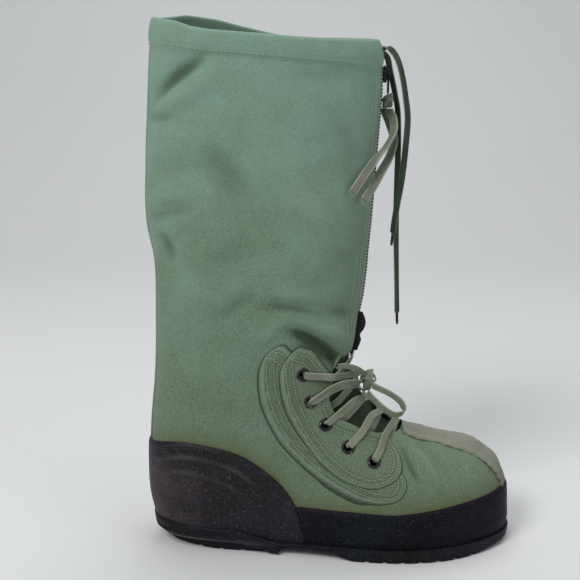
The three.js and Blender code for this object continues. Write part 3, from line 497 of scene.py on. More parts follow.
def canvas_material(name, base, light, dark, stained=True, faded=True):
    n = Nodes(name)
    blotch = n.ramp(n.noise(22, 6, 0.7), 0.2, 0.85)
    color = n.mix(n.math("MULTIPLY", blotch, 0.8), base, light)
    patchy = n.ramp(n.noise(38, 6, 0.65, (1, 1, 0.6)), 0.42, 0.75)
    color = n.mix(n.math("MULTIPLY", patchy, 0.3), color, dark)
    olive = n.ramp(n.noise(13, 5, 0.62), 0.42, 0.72)
    color = n.mix(n.math("MULTIPLY", olive, 0.34 if faded else 0.1), color, rgb(94, 112, 74))
    cool = n.ramp(n.noise(19, 5, 0.6, (1, 1, 1.5)), 0.48, 0.76)
    color = n.mix(n.math("MULTIPLY", cool, 0.4 if faded else 0.1), color, rgb(116, 156, 142))
    split = n.tree.nodes.new("ShaderNodeSeparateXYZ")
    n.link(n.node("ShaderNodeTexCoord", 3), split.inputs[0])
    low_down = n.ramp(split.outputs[2], 0.33, 0.08)
    color = n.mix(n.math("MULTIPLY", low_down, 0.55 if faded else 0.15), color, rgb(74, 88, 54))
    high_up = n.ramp(split.outputs[2], 0.27, 0.42)
    color = n.mix(n.math("MULTIPLY", high_up, 0.45), color, rgb(124, 162, 148))
    fleck = n.noise(950, 3, 0.7)
    color = n.mix(n.math("MULTIPLY", n.ramp(fleck, 0.35, 0.7), 0.28), color, rgb(178, 192, 174))
    # Painted shade: the cloth darkens towards a dark olive where it lies deep in a crease.
    deep = n.ramp(n.attribute("fold"), -0.3, -4.2)
    color = n.mix(n.math("MULTIPLY", deep, 0.75), color, rgb(52, 66, 40))
    # Painted highlight: the cloth pales where it stands up on a ridge, and on an overlay's rounded rim.
    wear_and_painted_highlight = n.ramp(n.attribute("fold"), 0.7, 4.5)
    color = n.mix(n.math("MULTIPLY", wear_and_painted_highlight, 0.5), color, rgb(146, 172, 150))
    if stained:
        ragged = n.math("ADD", n.attribute("stain"), n.math("MULTIPLY", n.math("SUBTRACT", n.noise(60, 5, 0.7), 0.5), 0.9))
        color = n.mix(n.math("MULTIPLY", n.ramp(ragged, 0.2, 1.25), 0.62), color, rgb(88, 92, 46))
        line = n.ramp(n.math("ADD", n.attribute("stain"), n.math("MULTIPLY", n.noise(90, 4, 0.7), 0.12)), 0.97, 1.08)
        color = n.mix(n.math("MULTIPLY", line, 0.5), color, rgb(104, 78, 36))
    # Painted shade: this attribute darkens the cloth inside the shell, under the overlays' edges, along the toe tape's
    # edges and on the tongue.
    painted_shade = n.attribute("painted_shade")
    color = n.mix(n.math("MULTIPLY", painted_shade, 0.7), color, rgb(40, 48, 34))
    weave = n.weave(1.15)
    height = n.math("ADD", n.math("MULTIPLY", weave, 0.35), n.math("MULTIPLY", fleck, 1.2))
    normal = n.bump(height, 0.0003, 0.75)
    normal = n.bump(n.noise(120, 4, 0.6), 0.0012, 0.45, normal)
    return n.finish(color, n.math("ADD", 0.86, n.math("MULTIPLY", blotch, 0.08)), normal, sheen=0.12, specular=0.2)


def tape_material(name, base, light, dark, pitch=1.1, edge=2.6):
    """Woven tape: fine ribs across, and paler selvedges at both edges."""
    n = Nodes(name)
    place = n.node("ShaderNodeUVMap", 0, {"uv_map": "cloth"})
    split = n.tree.nodes.new("ShaderNodeSeparateXYZ")
    n.link(place, split.inputs[0])
    blotch = n.ramp(n.noise(45, 5, 0.65), 0.35, 0.7)
    color = n.mix(blotch, base, light)
    ribs = n.math("SINE", n.math("MULTIPLY", split.outputs[1], 2 * math.pi / pitch))
    threads = n.math("SINE", n.math("MULTIPLY", split.outputs[0], 2 * math.pi / 0.8))
    weave = n.math("MULTIPLY", ribs, threads)
    color = n.mix(n.math("MULTIPLY", n.ramp(weave, 0.1, 1.0), 0.3), color, dark)
    selvedge = n.ramp(n.math("ABSOLUTE", split.outputs[0]), edge * 0.75, edge)
    color = n.mix(n.math("MULTIPLY", selvedge, 0.45), color, rgb(176, 178, 158))
    soiled = n.ramp(n.noise(90, 5, 0.7), 0.5, 0.78)
    color = n.mix(n.math("MULTIPLY", soiled, 0.45), color, dark)
    height = n.math("ADD", n.math("MULTIPLY", weave, 0.5), n.noise(1100, 2, 0.6))
    normal = n.bump(height, 0.00025, 0.8)
    return n.finish(color, 0.88, normal, sheen=0.1, specular=0.2)


def rubber_material(name, dusty=1.0, gloss=0.3):
    n = Nodes(name)
    tint = n.ramp(n.noise(13, 3, 0.5), 0.4, 0.62)
    color = n.mix(tint, rgb(7, 7, 8), rgb(17, 13, 23))
    blue = n.ramp(n.noise(24, 4, 0.55, (1, 1, 1.6)), 0.56, 0.74)
    color = n.mix(n.math("MULTIPLY", blue, 0.5), color, rgb(18, 18, 44))
    teal = n.ramp(n.noise(9, 2, 0.5, (1.3, 1, 1)), 0.6, 0.72)
    color = n.mix(n.math("MULTIPLY", teal, 0.5), color, rgb(6, 27, 30))
    mauve = n.math("MULTIPLY", n.attribute("mauve"), n.ramp(n.noise(30, 5, 0.6), 0.3, 0.6))
    color = n.mix(n.math("MULTIPLY", mauve, 0.75), color, rgb(66, 50, 57))
    dust = n.ramp(n.noise(55, 8, 0.75), 0.5, 0.8)
    color = n.mix(n.math("MULTIPLY", dust, 0.2 * dusty), color, rgb(88, 84, 92))
    rubbed = n.attribute("rubbed")
    color = n.mix(n.math("MULTIPLY", rubbed, 0.45), color, rgb(92, 88, 92))
    specks = n.ramp(n.noise(1100, 1, 0.5), 0.66, 0.74)
    color = n.mix(n.math("MULTIPLY", specks, 0.5 * dusty), color, rgb(150, 148, 158))
    grain = n.noise(420, 5, 0.7)
    normal = n.bump(grain, 0.0005, 0.55)
    normal = n.bump(n.noise(26, 3, 0.5), 0.0035, 0.35, normal)
    rough = n.math("ADD", 0.42, n.math("MULTIPLY", n.noise(60, 6, 0.7), 0.3))
    return n.finish(color, rough, normal, specular=gloss)


def metal_material(name):
    n = Nodes(name)
    wear_and_painted_highlight = n.ramp(n.noise(520, 5, 0.7), 0.56, 0.68)
    edge = n.attribute("rubbed")
    shown = n.math("MULTIPLY", wear_and_painted_highlight, n.math("ADD", 0.25, edge))
    color = n.mix(shown, rgb(18, 18, 19), rgb(176, 168, 150))
    rough = n.math("ADD", 0.3, n.math("MULTIPLY", n.noise(200, 4, 0.6), 0.25))
    normal = n.bump(n.noise(600, 3, 0.6), 0.0001, 0.5)
    return n.finish(color, rough, normal, metallic=0.35, specular=0.6)


def thread_material():
    n = Nodes("thread")
    color = n.mix(n.noise(260, 3, 0.6), rgb(132, 150, 124), rgb(168, 182, 158))
    normal = n.bump(n.noise(1500, 2, 0.6), 0.0001, 0.6)
    return n.finish(color, 0.8, normal, specular=0.25)


def felt_material():
    n = Nodes("felt")
    color = n.mix(n.noise(70, 6, 0.7), rgb(126, 120, 104), rgb(158, 150, 132))
    normal = n.bump(n.noise(420, 6, 0.8), 0.0006, 0.8)
    return n.finish(color, 0.95, normal, specular=0.15)


canvas = canvas_material("canvas", rgb(96, 122, 102), rgb(124, 154, 134), rgb(88, 106, 80))
stay_canvas = canvas_material("stay canvas", rgb(98, 118, 98), rgb(116, 138, 118), rgb(86, 100, 78), stained=False)
# The lining is used only on the tongue; its colours are darker than the canvas's as painted shade for the dark throat.
lining = canvas_material("lining", rgb(92, 112, 94), rgb(112, 134, 114), rgb(74, 86, 68), stained=False)
khaki = tape_material("khaki tape", rgb(106, 110, 98), rgb(134, 137, 122), rgb(68, 72, 60))
lace_tape = tape_material("lace", rgb(116, 124, 104), rgb(144, 150, 130), rgb(66, 72, 56))
toe_cloth = canvas_material("toe tape", rgb(124, 121, 108), rgb(144, 141, 128), rgb(98, 96, 84), faded=False)
cord_tape = tape_material("dark cord", rgb(44, 58, 46), rgb(64, 80, 66), rgb(22, 30, 22))
zip_tape = canvas_material("zip tape", rgb(72, 90, 74), rgb(92, 112, 94), rgb(58, 70, 56), stained=False)
rubber = rubber_material("rubber")
fore_rubber = rubber_material("fore rubber", dusty=0.45, gloss=0.1)
sole_rubber = rubber_material("sole rubber", dusty=0.6, gloss=0.18)
black_metal = metal_material("black metal")
# Black tape for the zip's folded end: its black colour is painted shadow, the shade in the opening below the zip.
shadow_black_cloth = tape_material("black tape", rgb(24, 25, 26), rgb(44, 45, 46), rgb(10, 10, 11))
thread = thread_material()
felt = felt_material()


# Where the rubber's top edge lies, from the side
COUNTER_LINE = [
    (-0.05, 0.56), (0.006, 0.575), (0.05, 0.605), (0.115, 0.63), (0.203, 0.607), (0.26, 0.57),
    (0.305, 0.513), (0.355, 0.43), (0.387, 0.351), (0.407, 0.273), (0.428, 0.12),
]
FOXING_LINE = [
    (0.38, 0.285), (0.49, 0.275), (0.58, 0.273), (0.66, 0.269), (0.742, 0.283),
    (0.83, 0.303), (0.91, 0.312), (0.96, 0.316), (1.03, 0.32),
]


def on_side(rows):
    return np.array([(HEEL_BACK + x * FOOT_LENGTH, z * INSTEP) for x, z in rows])


def counter_top(x):
    line = soft_line(on_side(COUNTER_LINE), 120)
    return np.interp(x, line[:, 0], line[:, 1])


def foxing_top(x):
    line = soft_line(on_side(FOXING_LINE), 80)
    return np.interp(x, line[:, 0], line[:, 1])


def rubber_top(x):
    return np.maximum(counter_top(x), foxing_top(x))


def cloth_attributes(p, folds):
    """How each point is stained near the rubber, and how deep in a fold it lies."""
    x, z = p[:, 0], p[:, 2]
    stain = np.clip(1 - (z - rubber_top(x)) / 26, 0, 1.1)
    collar_dirt = 0.35 * smooth(z, 395, 430)
    return {"stain": np.maximum(stain, collar_dirt), "fold": folds, "painted_shade": np.zeros(len(p))}


# The upper: one canvas shell with a turned hem, open at the throat and down the front
HEM_BACK = (SHAFT_AXIS - 0.476 * SHAFT_DEPTH, 1.02 * COLLAR)
HEM_FRONT = (SHAFT_AXIS + 0.49 * SHAFT_DEPTH, 0.985 * COLLAR)
HEM_HEIGHT = 20.0


def below_collar(p):
    """Height of the collar's top line over a point."""
    slope = (HEM_FRONT[1] - HEM_BACK[1]) / (HEM_FRONT[0] - HEM_BACK[0])
    return HEM_BACK[1] + slope * (p[..., 0] - HEM_BACK[0]) - p[..., 2]


NEAR_COLLAR = [(-55, 1.0), (-45, 2.0), (-30, 1.7), (-18, -1.0), (-5, -1.8), (30, -1.4), (60, -1.6), (110, -0.6), (125, 0)]
FAR_COLLAR = [(-55, -1.0), (-40, 0.5), (-29, 2.6), (-5, 1.0), (18, -3.0), (48, -7.0), (70, -6.5), (110, -3.0), (125, -1)]


def collar_shift(p):
    """How far the collar's edge rises or sags, on the outer and on the inner side."""
    near = np.interp(p[..., 0], *np.transpose(NEAR_COLLAR))
    far = np.interp(p[..., 0], *np.transpose(FAR_COLLAR))
    share = smooth(p[..., 1], -12, 12)
    return (near * (1 - share) + far * share) * smooth(p[..., 2], 400, 433)


def hem_offset(p):
    down = below_collar(p)
    step = 1.4 * smooth(down, HEM_HEIGHT + 0.5, HEM_HEIGHT - 0.3)
    pillow = np.sin(np.pi * np.clip(down / HEM_HEIGHT, 0, 1)) * 0.9
    puckers = 0.35 * np.sin(p[..., 0] / 4.1) * np.exp(-(((down - HEM_HEIGHT) / 5) ** 2))
    return step * (1 + pillow) + puckers


def shell_rows():
    toe = np.linspace(0, 7, 78, endpoint=False)
    instep = np.linspace(7, 11.6, 66, endpoint=False)
    ankle = np.linspace(11.6, 17, 60, endpoint=False)
    leg = np.linspace(17, LAST, 72)
    return np.concatenate([toe, instep, ankle, leg])


def rim_faces(inner, outer, total, columns):
    """Strips that join the outside and the inside along the throat and the slit."""
    out = []
    for edge, column in ((inner, 0), (outer, columns - 1)):
        for i in range(len(edge) - 1):
            if edge[i] > 0 or edge[i + 1] > 0:
                a, b = i * columns + column, (i + 1) * columns + column
                c, d = (total - 2 - i) * columns + column, (total - 1 - i) * columns + column
                out.append((a, b, c, d) if column else (d, c, b, a))
    return np.array(out)


def make_upper():
    rows = shell_rows()
    columns = 150
    inner = edge_turn(rows, 1, 0.9)
    outer = edge_turn(rows, -1, 0.9)
    turns = np.clip(np.linspace(0, 2 * np.pi, columns)[None, :], inner[:, None], (2 * np.pi - outer)[:, None])
    s = np.repeat(rows[:, None], columns, axis=1)
    base = face(s, turns)
    folds = crease(base)
    normal = face_normal(s, turns)
    collar_roll = np.array([[0.6, 1.15], [-0.8, 1.7], [-1.4, 1.5]])
    outside = base + normal * (hem_offset(base) + folds)[..., None]
    inside = base + normal * (folds - CANVAS_WALL)[..., None]
    up = np.array([0, 0, 1.0])
    roll = [base[-1] + normal[-1] * a + up * b for a, b in collar_roll]
    points = np.concatenate([outside, np.array(roll), inside[::-1]])
    points = points + up * collar_shift(points)[..., None]
    depth = np.concatenate([folds, np.zeros((len(roll), columns)), folds[::-1]])
    faces = np.vstack([grid_faces(len(points), columns), rim_faces(inner, outer, len(points), columns)])
    flat = points.reshape(-1, 3)
    middle = flat[faces].mean(axis=1)
    diagonals = np.cross(flat[faces[:, 2]] - flat[faces[:, 0]], flat[faces[:, 3]] - flat[faces[:, 1]])
    keep = (middle[:, 2] > 11.5) & (np.linalg.norm(diagonals, axis=1) > 0.02)
    for seat in OUTER_SEATS + INNER_SEATS:
        centre = face(*seat)
        keep &= np.linalg.norm(middle - centre, axis=1) > 4.4
    attributes = cloth_attributes(flat, depth.ravel())
    # Painted shade on the inside face of the shell, seen through the collar.
    attributes["painted_shade"] = 0.5 * (np.arange(len(flat)) >= (len(rows) + 3) * columns)
    used, index = np.unique(faces[keep], return_inverse=True)
    attributes = {key: values[used] for key, values in attributes.items()}
    faces = index.reshape(-1, 4)
    obj = new_mesh("upper_canvas", flat[used], faces, canvas, uv=grid_uv(points)[used], attributes=attributes)
    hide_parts("upper")
    return obj


def make_corner(side):
    """The corner of canvas between the front slit and the throat's top edge, on one side."""
    sign = 1 if side == "inner" else -1
    rows = np.linspace(10.0, 11.0, 60)
    turns = np.linspace(0, 1.6, 800)
    gaps = openness(face(rows[:, None], sign * turns[None, :])) + 0.9 > 0
    spans = []
    for s, gap in zip(rows, gaps):
        changes = np.nonzero(np.diff(gap.astype(int)))[0]
        if gap[0] and len(changes) >= 3:
            spans.append((s, turns[changes[0]], turns[changes[1]]))
    if len(spans) < 2:
        return
    spans.append((spans[-1][0] + rows[1] - rows[0], spans[-1][1], spans[-1][2]))
    s, first, last = (np.array(column)[:, None] for column in zip(*spans))
    turn = sign * (first + (last - first) * np.linspace(0, 1, 14)[None, :])
    s = np.repeat(s, turn.shape[1], axis=1)
    points = skin(s, turn, -0.05)
    flat = points.reshape(-1, 3)
    attributes = cloth_attributes(flat, crease(face(s, turn)).ravel())
    obj = new_mesh(f"corner_{side}", flat, grid_faces(*turn.shape), canvas, uv=grid_uv(points), attributes=attributes)
    fix_normals(obj)
    thick = obj.modifiers.new("thickness", "SOLIDIFY")
    thick.thickness = CANVAS_WALL * MM
    thick.offset = -1
    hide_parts("upper")


# Eyelet seats
EYELET_PLACES = [(0.423, 1.01), (0.443, 0.862), (0.483, 0.737), (0.544, 0.618), (0.611, 0.542)]
INNER_ALONGS = [-0.06, 0.2, 0.46, 0.7, 0.92]
OUTER_SEATS = [locate(*place, -1) for place in on_side(EYELET_PLACES)]
INNER_SEATS = [throat_place(along, float(throat_half(along)) + 9) for along in INNER_ALONGS]

PATCH_OUTLINE = [
    (0.377, 1.162, 0.02), (0.333, 1.125, 0), (0.312, 1.035, 0), (0.312, 0.924, 0), (0.322, 0.827, 0),
    (0.354, 0.685, 0), (0.394, 0.579, 0), (0.45, 0.474, 0), (0.503, 0.404, 0), (0.57, 0.344, 0),
    (0.63, 0.332, 0), (0.674, 0.35, 0), (0.694, 0.396, 0), (0.697, 0.439, 0.01), (0.68, 0.5, 0.03),
    (0.62, 0.66, 0.06), (0.52, 0.86, 0.06), (0.43, 1.06, 0.05),
]
STAY_OUTLINE = [
    (0.418, 1.154, 0.02), (0.394, 1.125, 0.01), (0.368, 1.051, 0), (0.365, 0.963, 0), (0.38, 0.824, 0),
    (0.411, 0.704, 0), (0.465, 0.552, 0), (0.517, 0.466, 0), (0.562, 0.429, 0), (0.612, 0.415, 0),
    (0.658, 0.443, 0), (0.681, 0.479, 0.005), (0.684, 0.526, 0.01), (0.67, 0.58, 0.03),
    (0.6, 0.74, 0.06), (0.53, 0.9, 0.07), (0.485, 1.02, 0.06), (0.446, 1.131, 0.03),
]
S_TO_MM = 17.0
TURN_TO_MM = 42.0


def flat_map(s, turn):
    return np.stack([np.asarray(s) * S_TO_MM, np.asarray(turn) * TURN_TO_MM], -1)


def resample(loop, step, closed=True):
    ring = np.vstack([loop, loop[:1]]) if closed else loop
    lengths = np.linalg.norm(np.diff(ring, axis=0), axis=1)
    along = np.concatenate([[0], np.cumsum(lengths)])
    count = max(8, int(along[-1] / step))
    at = np.linspace(0, along[-1], count, endpoint=not closed)
    return np.stack([np.interp(at, along, ring[:, k]) for k in range(ring.shape[1])], -1)


def overlay_loop(rows, side, margin):
    """The outline of a patch in flat coordinates, and which of its points lie on the throat."""
    places = [(HEEL_BACK + (x + (push if side > 0 else 0)) * FOOT_LENGTH, z * INSTEP) for x, z, push in rows]
    fine = 6
    ring = soft_line(places[-1:] + places + places[:2], fine * (len(places) + 2) + 1)[fine:-2 * fine]
    spots = [locate(x, z, side) for x, z in ring]
    s = np.array([spot[0] for spot in spots])
    turn = np.array([spot[1] for spot in spots])
    out = openness(face(s, turn)) + margin < -0.05
    first = next(i for i in range(len(out)) if out[i] and not out[i - 1])
    s, turn, out = np.roll(s, -first), np.roll(turn, -first), np.roll(out, -first)
    count = int(np.argmin(out)) if not out.all() else len(out)
    s, turn = s[:count], turn[:count]
    rim_s = np.linspace(s[-1], s[0], 60)[1:-1]
    rim_turn = side * edge_turn(rim_s, side, margin)
    rim_ok = np.abs(rim_turn) > 0.02
    rim_s, rim_turn = rim_s[rim_ok], rim_turn[rim_ok]
    loop = np.vstack([flat_map(s, turn), flat_map(rim_s, rim_turn)])
    is_rim = np.concatenate([np.zeros(len(s)), np.ones(len(rim_s))])
    return resample(np.column_stack([loop, is_rim]), 1.3)


def inward(loop, distance):
    """A closed loop moved inward."""
    ahead = np.roll(loop, -1, axis=0)
    behind = np.roll(loop, 1, axis=0)
    tangent = unit(ahead - behind)
    normal = np.stack([-tangent[:, 1], tangent[:, 0]], -1)
    area = 0.5 * np.sum(loop[:, 0] * ahead[:, 1] - ahead[:, 0] * loop[:, 1])
    return loop + np.sign(area) * normal * distance


def loop_distance(points, loop):
    a, b = loop, np.roll(loop, -1, axis=0)
    best = np.full(len(points), 1e9)
    for start, end in zip(a, b):
        span = end - start
        t = np.clip(((points - start) @ span) / max(span @ span, 1e-9), 0, 1)
        best = np.minimum(best, np.linalg.norm(points - start - t[:, None] * span, axis=1))
    return best


def inside_loop(points, loop):
    x, y = points[:, 0], points[:, 1]
    inside = np.zeros(len(points), bool)
    for (ax, ay), (bx, by) in zip(loop, np.roll(loop, -1, axis=0)):
        crosses = (ay > y) != (by > y)
        with np.errstate(divide="ignore", invalid="ignore"):
            at = (bx - ax) * (y - ay) / (by - ay) + ax
        inside ^= crosses & (x < at)
    return inside


STITCH_ROWS = (2.1, 4.3)


def make_overlay(name, node, rows, side, bottom, thickness, margin, seats):
    full = overlay_loop(rows, side, margin)
    loop, is_rim = full[:, :2], full[:, 2]
    inset = inward(loop, 0.9)
    low, high = loop.min(axis=0), loop.max(axis=0)
    step = 1.05
    xs = np.arange(low[0], high[0], step)
    ys = np.arange(low[1], high[1], step)
    cells = np.stack(np.meshgrid(xs, ys), -1).reshape(-1, 2)
    cells = cells[inside_loop(cells, loop)]
    cells = cells[loop_distance(cells, loop) > 1.7]
    points = np.vstack([loop, inset, cells])
    edges = [(i, (i + 1) % len(loop)) for i in range(len(loop))]
    found = delaunay_2d_cdt([Vector(p) for p in points], edges, [], 0, 1e-4)
    flat = np.array([tuple(v) for v in found[0]])
    triangles = np.array([f for f in found[2] if len(f) == 3])
    middle = flat[triangles].mean(axis=1)
    keep = inside_loop(middle, loop)
    s, turn = flat[:, 0] / S_TO_MM, flat[:, 1] / TURN_TO_MM
    base = face(s, turn)
    centres = base[triangles].mean(axis=1)
    for seat in seats:
        keep &= np.linalg.norm(centres - face(*seat), axis=1) > 3.9
    triangles = triangles[keep]
    distance = loop_distance(flat, loop)
    rounding = 1 - 0.55 * np.exp(-((distance / 0.55) ** 2))
    groove = sum(np.exp(-(((distance - row) / 0.8) ** 2)) for row in STITCH_ROWS)
    lift = bottom + thickness * rounding - 0.22 * groove + 0.25 * np.exp(-(((distance - 3.2) / 0.9) ** 2))
    folds = crease(base)
    top = stiff_skin(s, turn, lift)
    area = np.cross(flat[triangles[:, 1]] - flat[triangles[:, 0]], flat[triangles[:, 2]] - flat[triangles[:, 0]])
    triangles = np.where((area > 0)[:, None], triangles, triangles[:, ::-1])
    start = len(top)
    rim_base = loop
    rs, rt = rim_base[:, 0] / S_TO_MM, rim_base[:, 1] / TURN_TO_MM
    mid_depth = np.where(is_rim > 0.5, bottom - 0.6, bottom + 0.25)
    low_depth = np.where(is_rim > 0.5, -1.9, bottom - 0.12)
    foot = np.where(is_rim[:, None] > 0.5, loop, inward(loop, -0.55))
    skirts = np.vstack([stiff_skin(rs, rt, mid_depth), stiff_skin(foot[:, 0] / S_TO_MM, foot[:, 1] / TURN_TO_MM, low_depth)])
    ring = np.arange(len(loop))
    index = np.argmin(np.linalg.norm(flat[None, :, :] - loop[:, None, :], axis=-1), axis=1)
    following = (ring + 1) % len(loop)
    quads = [(index[i], index[following[i]], start + following[i], start + i) for i in ring]
    quads += [(start + i, start + following[i], start + len(loop) + following[i], start + len(loop) + i) for i in ring]
    every = np.vstack([top, skirts])
    uv = np.vstack([flat, loop, inward(loop, -1.5)])
    # The fold height, with a painted highlight on the rounded rim and on the swell between the stitch rows.
    wear_and_painted_highlight = folds + 3.2 * np.exp(-(((distance - 0.7) / 0.5) ** 2)) + 1.6 * np.exp(-(((distance - 3.2) / 0.6) ** 2))
    depth = np.concatenate([wear_and_painted_highlight, np.zeros(2 * len(loop))])
    attributes = cloth_attributes(every, depth)
    attributes["stain"] = attributes["stain"] * 0.4
    # Painted shade in the stitch grooves, and a painted shadow on the skirts under the patch's edge.
    shadow = np.clip(0.5 * groove * (distance > 1.2), 0, 0.8)
    attributes["painted_shade"] = np.concatenate([shadow, 0.7 * np.ones(len(loop)), 1.3 * np.ones(len(loop))])
    obj = new_mesh(name, every, [tuple(f) for f in triangles] + quads, stay_canvas, uv=uv, attributes=attributes)
    fix_normals(obj)
    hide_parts(node)
    for row in STITCH_ROWS:
        line = inward(loop, row)
        spots = line / np.array([S_TO_MM, TURN_TO_MM])
        height = bottom + thickness + 0.1
        normals = face_normal(spots[:, 0], spots[:, 1])
        STITCH_LINES.append((stiff_skin(spots[:, 0], spots[:, 1], height), normals, 2.5, True))
    return obj


def fix_normals(obj):
    """Turns the faces outward, by the first face's side of the boot's form."""
    mesh = obj.data
    work = bmesh.new()
    work.from_mesh(mesh)
    bmesh.ops.recalc_face_normals(work, faces=work.faces)
    work.to_mesh(mesh)
    work.free()
    centre = np.array([v.co[:] for v in mesh.vertices]) / MM
    sample = mesh.polygons[0]
    middle = centre[list(sample.vertices)].mean(axis=0)
    outward = face_normal(*place_of(middle))
    if Vector(outward).dot(sample.normal) < 0:
        mesh.flip_normals()


# Stitches: short threads that sink into the cloth at both ends
STITCH_LINES = []


def make_stitches(name, lines, material, body="root"):
    ring = np.linspace(0, 2 * np.pi, 5, endpoint=False)
    profile = [(-0.5, 0.12, -0.35), (-0.28, 0.85, 0.05), (0.0, 1.0, 0.16), (0.28, 0.85, 0.05), (0.5, 0.12, -0.35)]
    points, faces = [], []
    for line, normals, pitch, closed in lines:
        ring_line = np.vstack([line, line[:1]]) if closed else line
        ring_normals = np.vstack([normals, normals[:1]]) if closed else normals
        lengths = np.linalg.norm(np.diff(ring_line, axis=0), axis=1)
        along = np.concatenate([[0], np.cumsum(lengths)])
        count = int(along[-1] / pitch)
        for k in range(count):
            at = (k + 0.5) * pitch
            centre = np.array([np.interp(at, along, ring_line[:, c]) for c in range(3)])
            ahead = np.array([np.interp(at + 0.5, along, ring_line[:, c]) for c in range(3)])
            up = unit(np.array([np.interp(at, along, ring_normals[:, c]) for c in range(3)]))
            way = unit(ahead - centre)
            across = np.cross(up, way)
            lean = unit(way + across * 0.12 * math.sin(k * 2.4))
            side = np.cross(up, lean)
            start = len(points)
            for t, size, lift in profile:
                mid = centre + lean * t * pitch * 0.82 + up * lift
                for a in ring:
                    points.append(mid + (side * math.cos(a) * 0.42 + up * math.sin(a) * 0.34) * size)
            for r in range(len(profile) - 1):
                for c in range(5):
                    d = (c + 1) % 5
                    base = start + r * 5
                    faces.append((base + c, base + d, base + 5 + d, base + 5 + c))
            faces.append(tuple(start + c for c in reversed(range(5))))
            faces.append(tuple(start + 5 * (len(profile) - 1) + c for c in range(5)))
    return new_mesh(name, points, faces, material, body=body)


# Flat tapes
TAPE_PROFILE = [
    (-0.5, 0.0), (-0.485, -0.3), (-0.43, -0.5), (-0.2, -0.42), (0.2, -0.42), (0.43, -0.5), (0.485, -0.3),
    (0.5, 0.0), (0.485, 0.3), (0.43, 0.5), (0.2, 0.42), (-0.2, 0.42), (-0.43, 0.5), (-0.485, 0.3),
]


def ribbon_points(path, facings, width, thickness, swell=None):
    tangent = unit(np.gradient(path, axis=0))
    across = unit(np.cross(tangent, facings))
    up = unit(np.cross(across, tangent))
    size = np.ones(len(path)) if swell is None else swell
    rings = [
        path + across * (w * width * size)[:, None] + up * (h * thickness)
        for w, h in TAPE_PROFILE
    ]
    return np.stack(rings, axis=1)


def ribbon(name, path, facings, width, thickness, material, body="root", swell=None):
    """A flat tape along a path. The facings say which way its wide face looks."""
    path = np.asarray(path, float)
    facings = np.broadcast_to(np.asarray(facings, float), path.shape)
    rings = ribbon_points(path, facings, width, thickness, swell)
    rows, columns = rings.shape[:2]
    points = rings.reshape(-1, 3)
    faces = [tuple(f) for f in grid_faces(rows, columns, closed=True)]
    faces.append(tuple(reversed(range(columns))))
    faces.append(tuple((rows - 1) * columns + c for c in range(columns)))
    along = np.concatenate([[0], np.cumsum(np.linalg.norm(np.diff(path, axis=0), axis=1))])
    u = np.array([w * width for w, _ in TAPE_PROFILE])
    uv = np.stack(np.meshgrid(u, along), -1).reshape(-1, 2)
    return new_mesh(name, points, faces, material, body=body, uv=uv)


def smooth_route(rows, count):
    return soft_line(np.asarray(rows, float), count)


def declare_cord(nodes):
    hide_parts(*nodes)


def fringe(name, end, way, across, width, material, count=9, reach=3.4, body="root"):
    """Loose threads at a cut end of tape."""
    points, faces = [], []
    up = np.cross(across, way)
    for k in range(count):
        share = (k + 0.5) / count - 0.5
        root = end + across * share * width * 0.94
        bend = across * math.sin(k * 2.1) * 0.9 + up * math.cos(k * 3.3) * 0.8
        tip = root + way * reach * (0.55 + 0.45 * math.sin(k * 1.7) ** 2) + bend
        start = len(points)
        for t in (0, 0.5, 1):
            mid = root + (tip - root) * t + bend * t * t * 0.4
            for a in range(3):
                turn = 2 * math.pi * a / 3
                points.append(mid + (across * math.cos(turn) + up * math.sin(turn)) * 0.22 * (1 - 0.7 * t))
        for r in range(2):
            for c in range(3):
                d = (c + 1) % 3
                faces.append((start + 3 * r + c, start + 3 * r + d, start + 3 * r + 3 + d, start + 3 * r + 3 + c))
        faces.append((start + 2, start + 1, start))
        faces.append((start + 6, start + 7, start + 8))
    return new_mesh(name, points, faces, material, body=body)


# Strips of the boot's own form
def form_strip(name, node, s_values, turns, lift, material, body="root", attributes=True, folds=1.0):
    """A patch of the form over a grid of sections and turns, lifted off the face."""
    s = np.broadcast_to(s_values, turns.shape)
    base = face(s, turns)
    points = base + face_normal(s, turns) * (lift + folds * crease(base))[..., None]
    flat = points.reshape(-1, 3)
    extra = cloth_attributes(flat, (folds * crease(base)).ravel()) if attributes else None
    obj = new_mesh(name, flat, grid_faces(*turns.shape), material, body=body, uv=grid_uv(points), attributes=extra)
    fix_normals(obj)
    if node:
        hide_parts(node)
    return obj


def turn_at_y(s, y, near=0.0):
    """The turn, on the front half or near pi, at which the face has the given y."""
    t = np.linspace(-1.5, 1.5, 601) + near
    p = face(np.asarray(s)[:, None], t[None, :])[..., 1]
    out = np.zeros((len(s), len(y)))
    for k in range(len(s)):
        order = np.argsort(p[k])
        out[k] = np.interp(y, p[k][order], t[order])
    return out


def rounded_lift(v, half, bottom, thickness, sink=0.9):
    """The lift across a strip, with soft edges that sink to the cloth under it."""
    edge = half - np.abs(v)
    return np.where(edge <= 0.01, bottom - sink, bottom + thickness * (1 - 0.5 * np.exp(-((edge / 0.5) ** 2))))


def strip_columns(half, count):
    middle = np.linspace(-half + 0.8, half - 0.8, count)
    return np.concatenate([[-half, -half + 0.02, -half + 0.3], middle, [half - 0.3, half - 0.02, half]])


def make_back_seam():
    rows = np.linspace(13.3, LAST - 0.35, 190)
    columns = strip_columns(4.5, 13)
    turns = turn_at_y(rows, columns, near=math.pi)
    lift = rounded_lift(columns, 4.5, GAP, 0.9)
    ridge = 0.7 * np.exp(-((columns / 1.3) ** 2))
    obj = form_strip("back_seam_strip", "back_seam", rows[:, None], turns, (lift + ridge)[None, :], canvas)
    for y in (-3.2, 3.2):
        t = turn_at_y(rows, np.array([y]), near=math.pi)[:, 0]
        STITCH_LINES.append((skin(rows, t, 1.25), face_normal(rows, t), 3.0, False))
    return obj


TAPE_CENTRE = 1.5
TAPE_HALF = 15.5


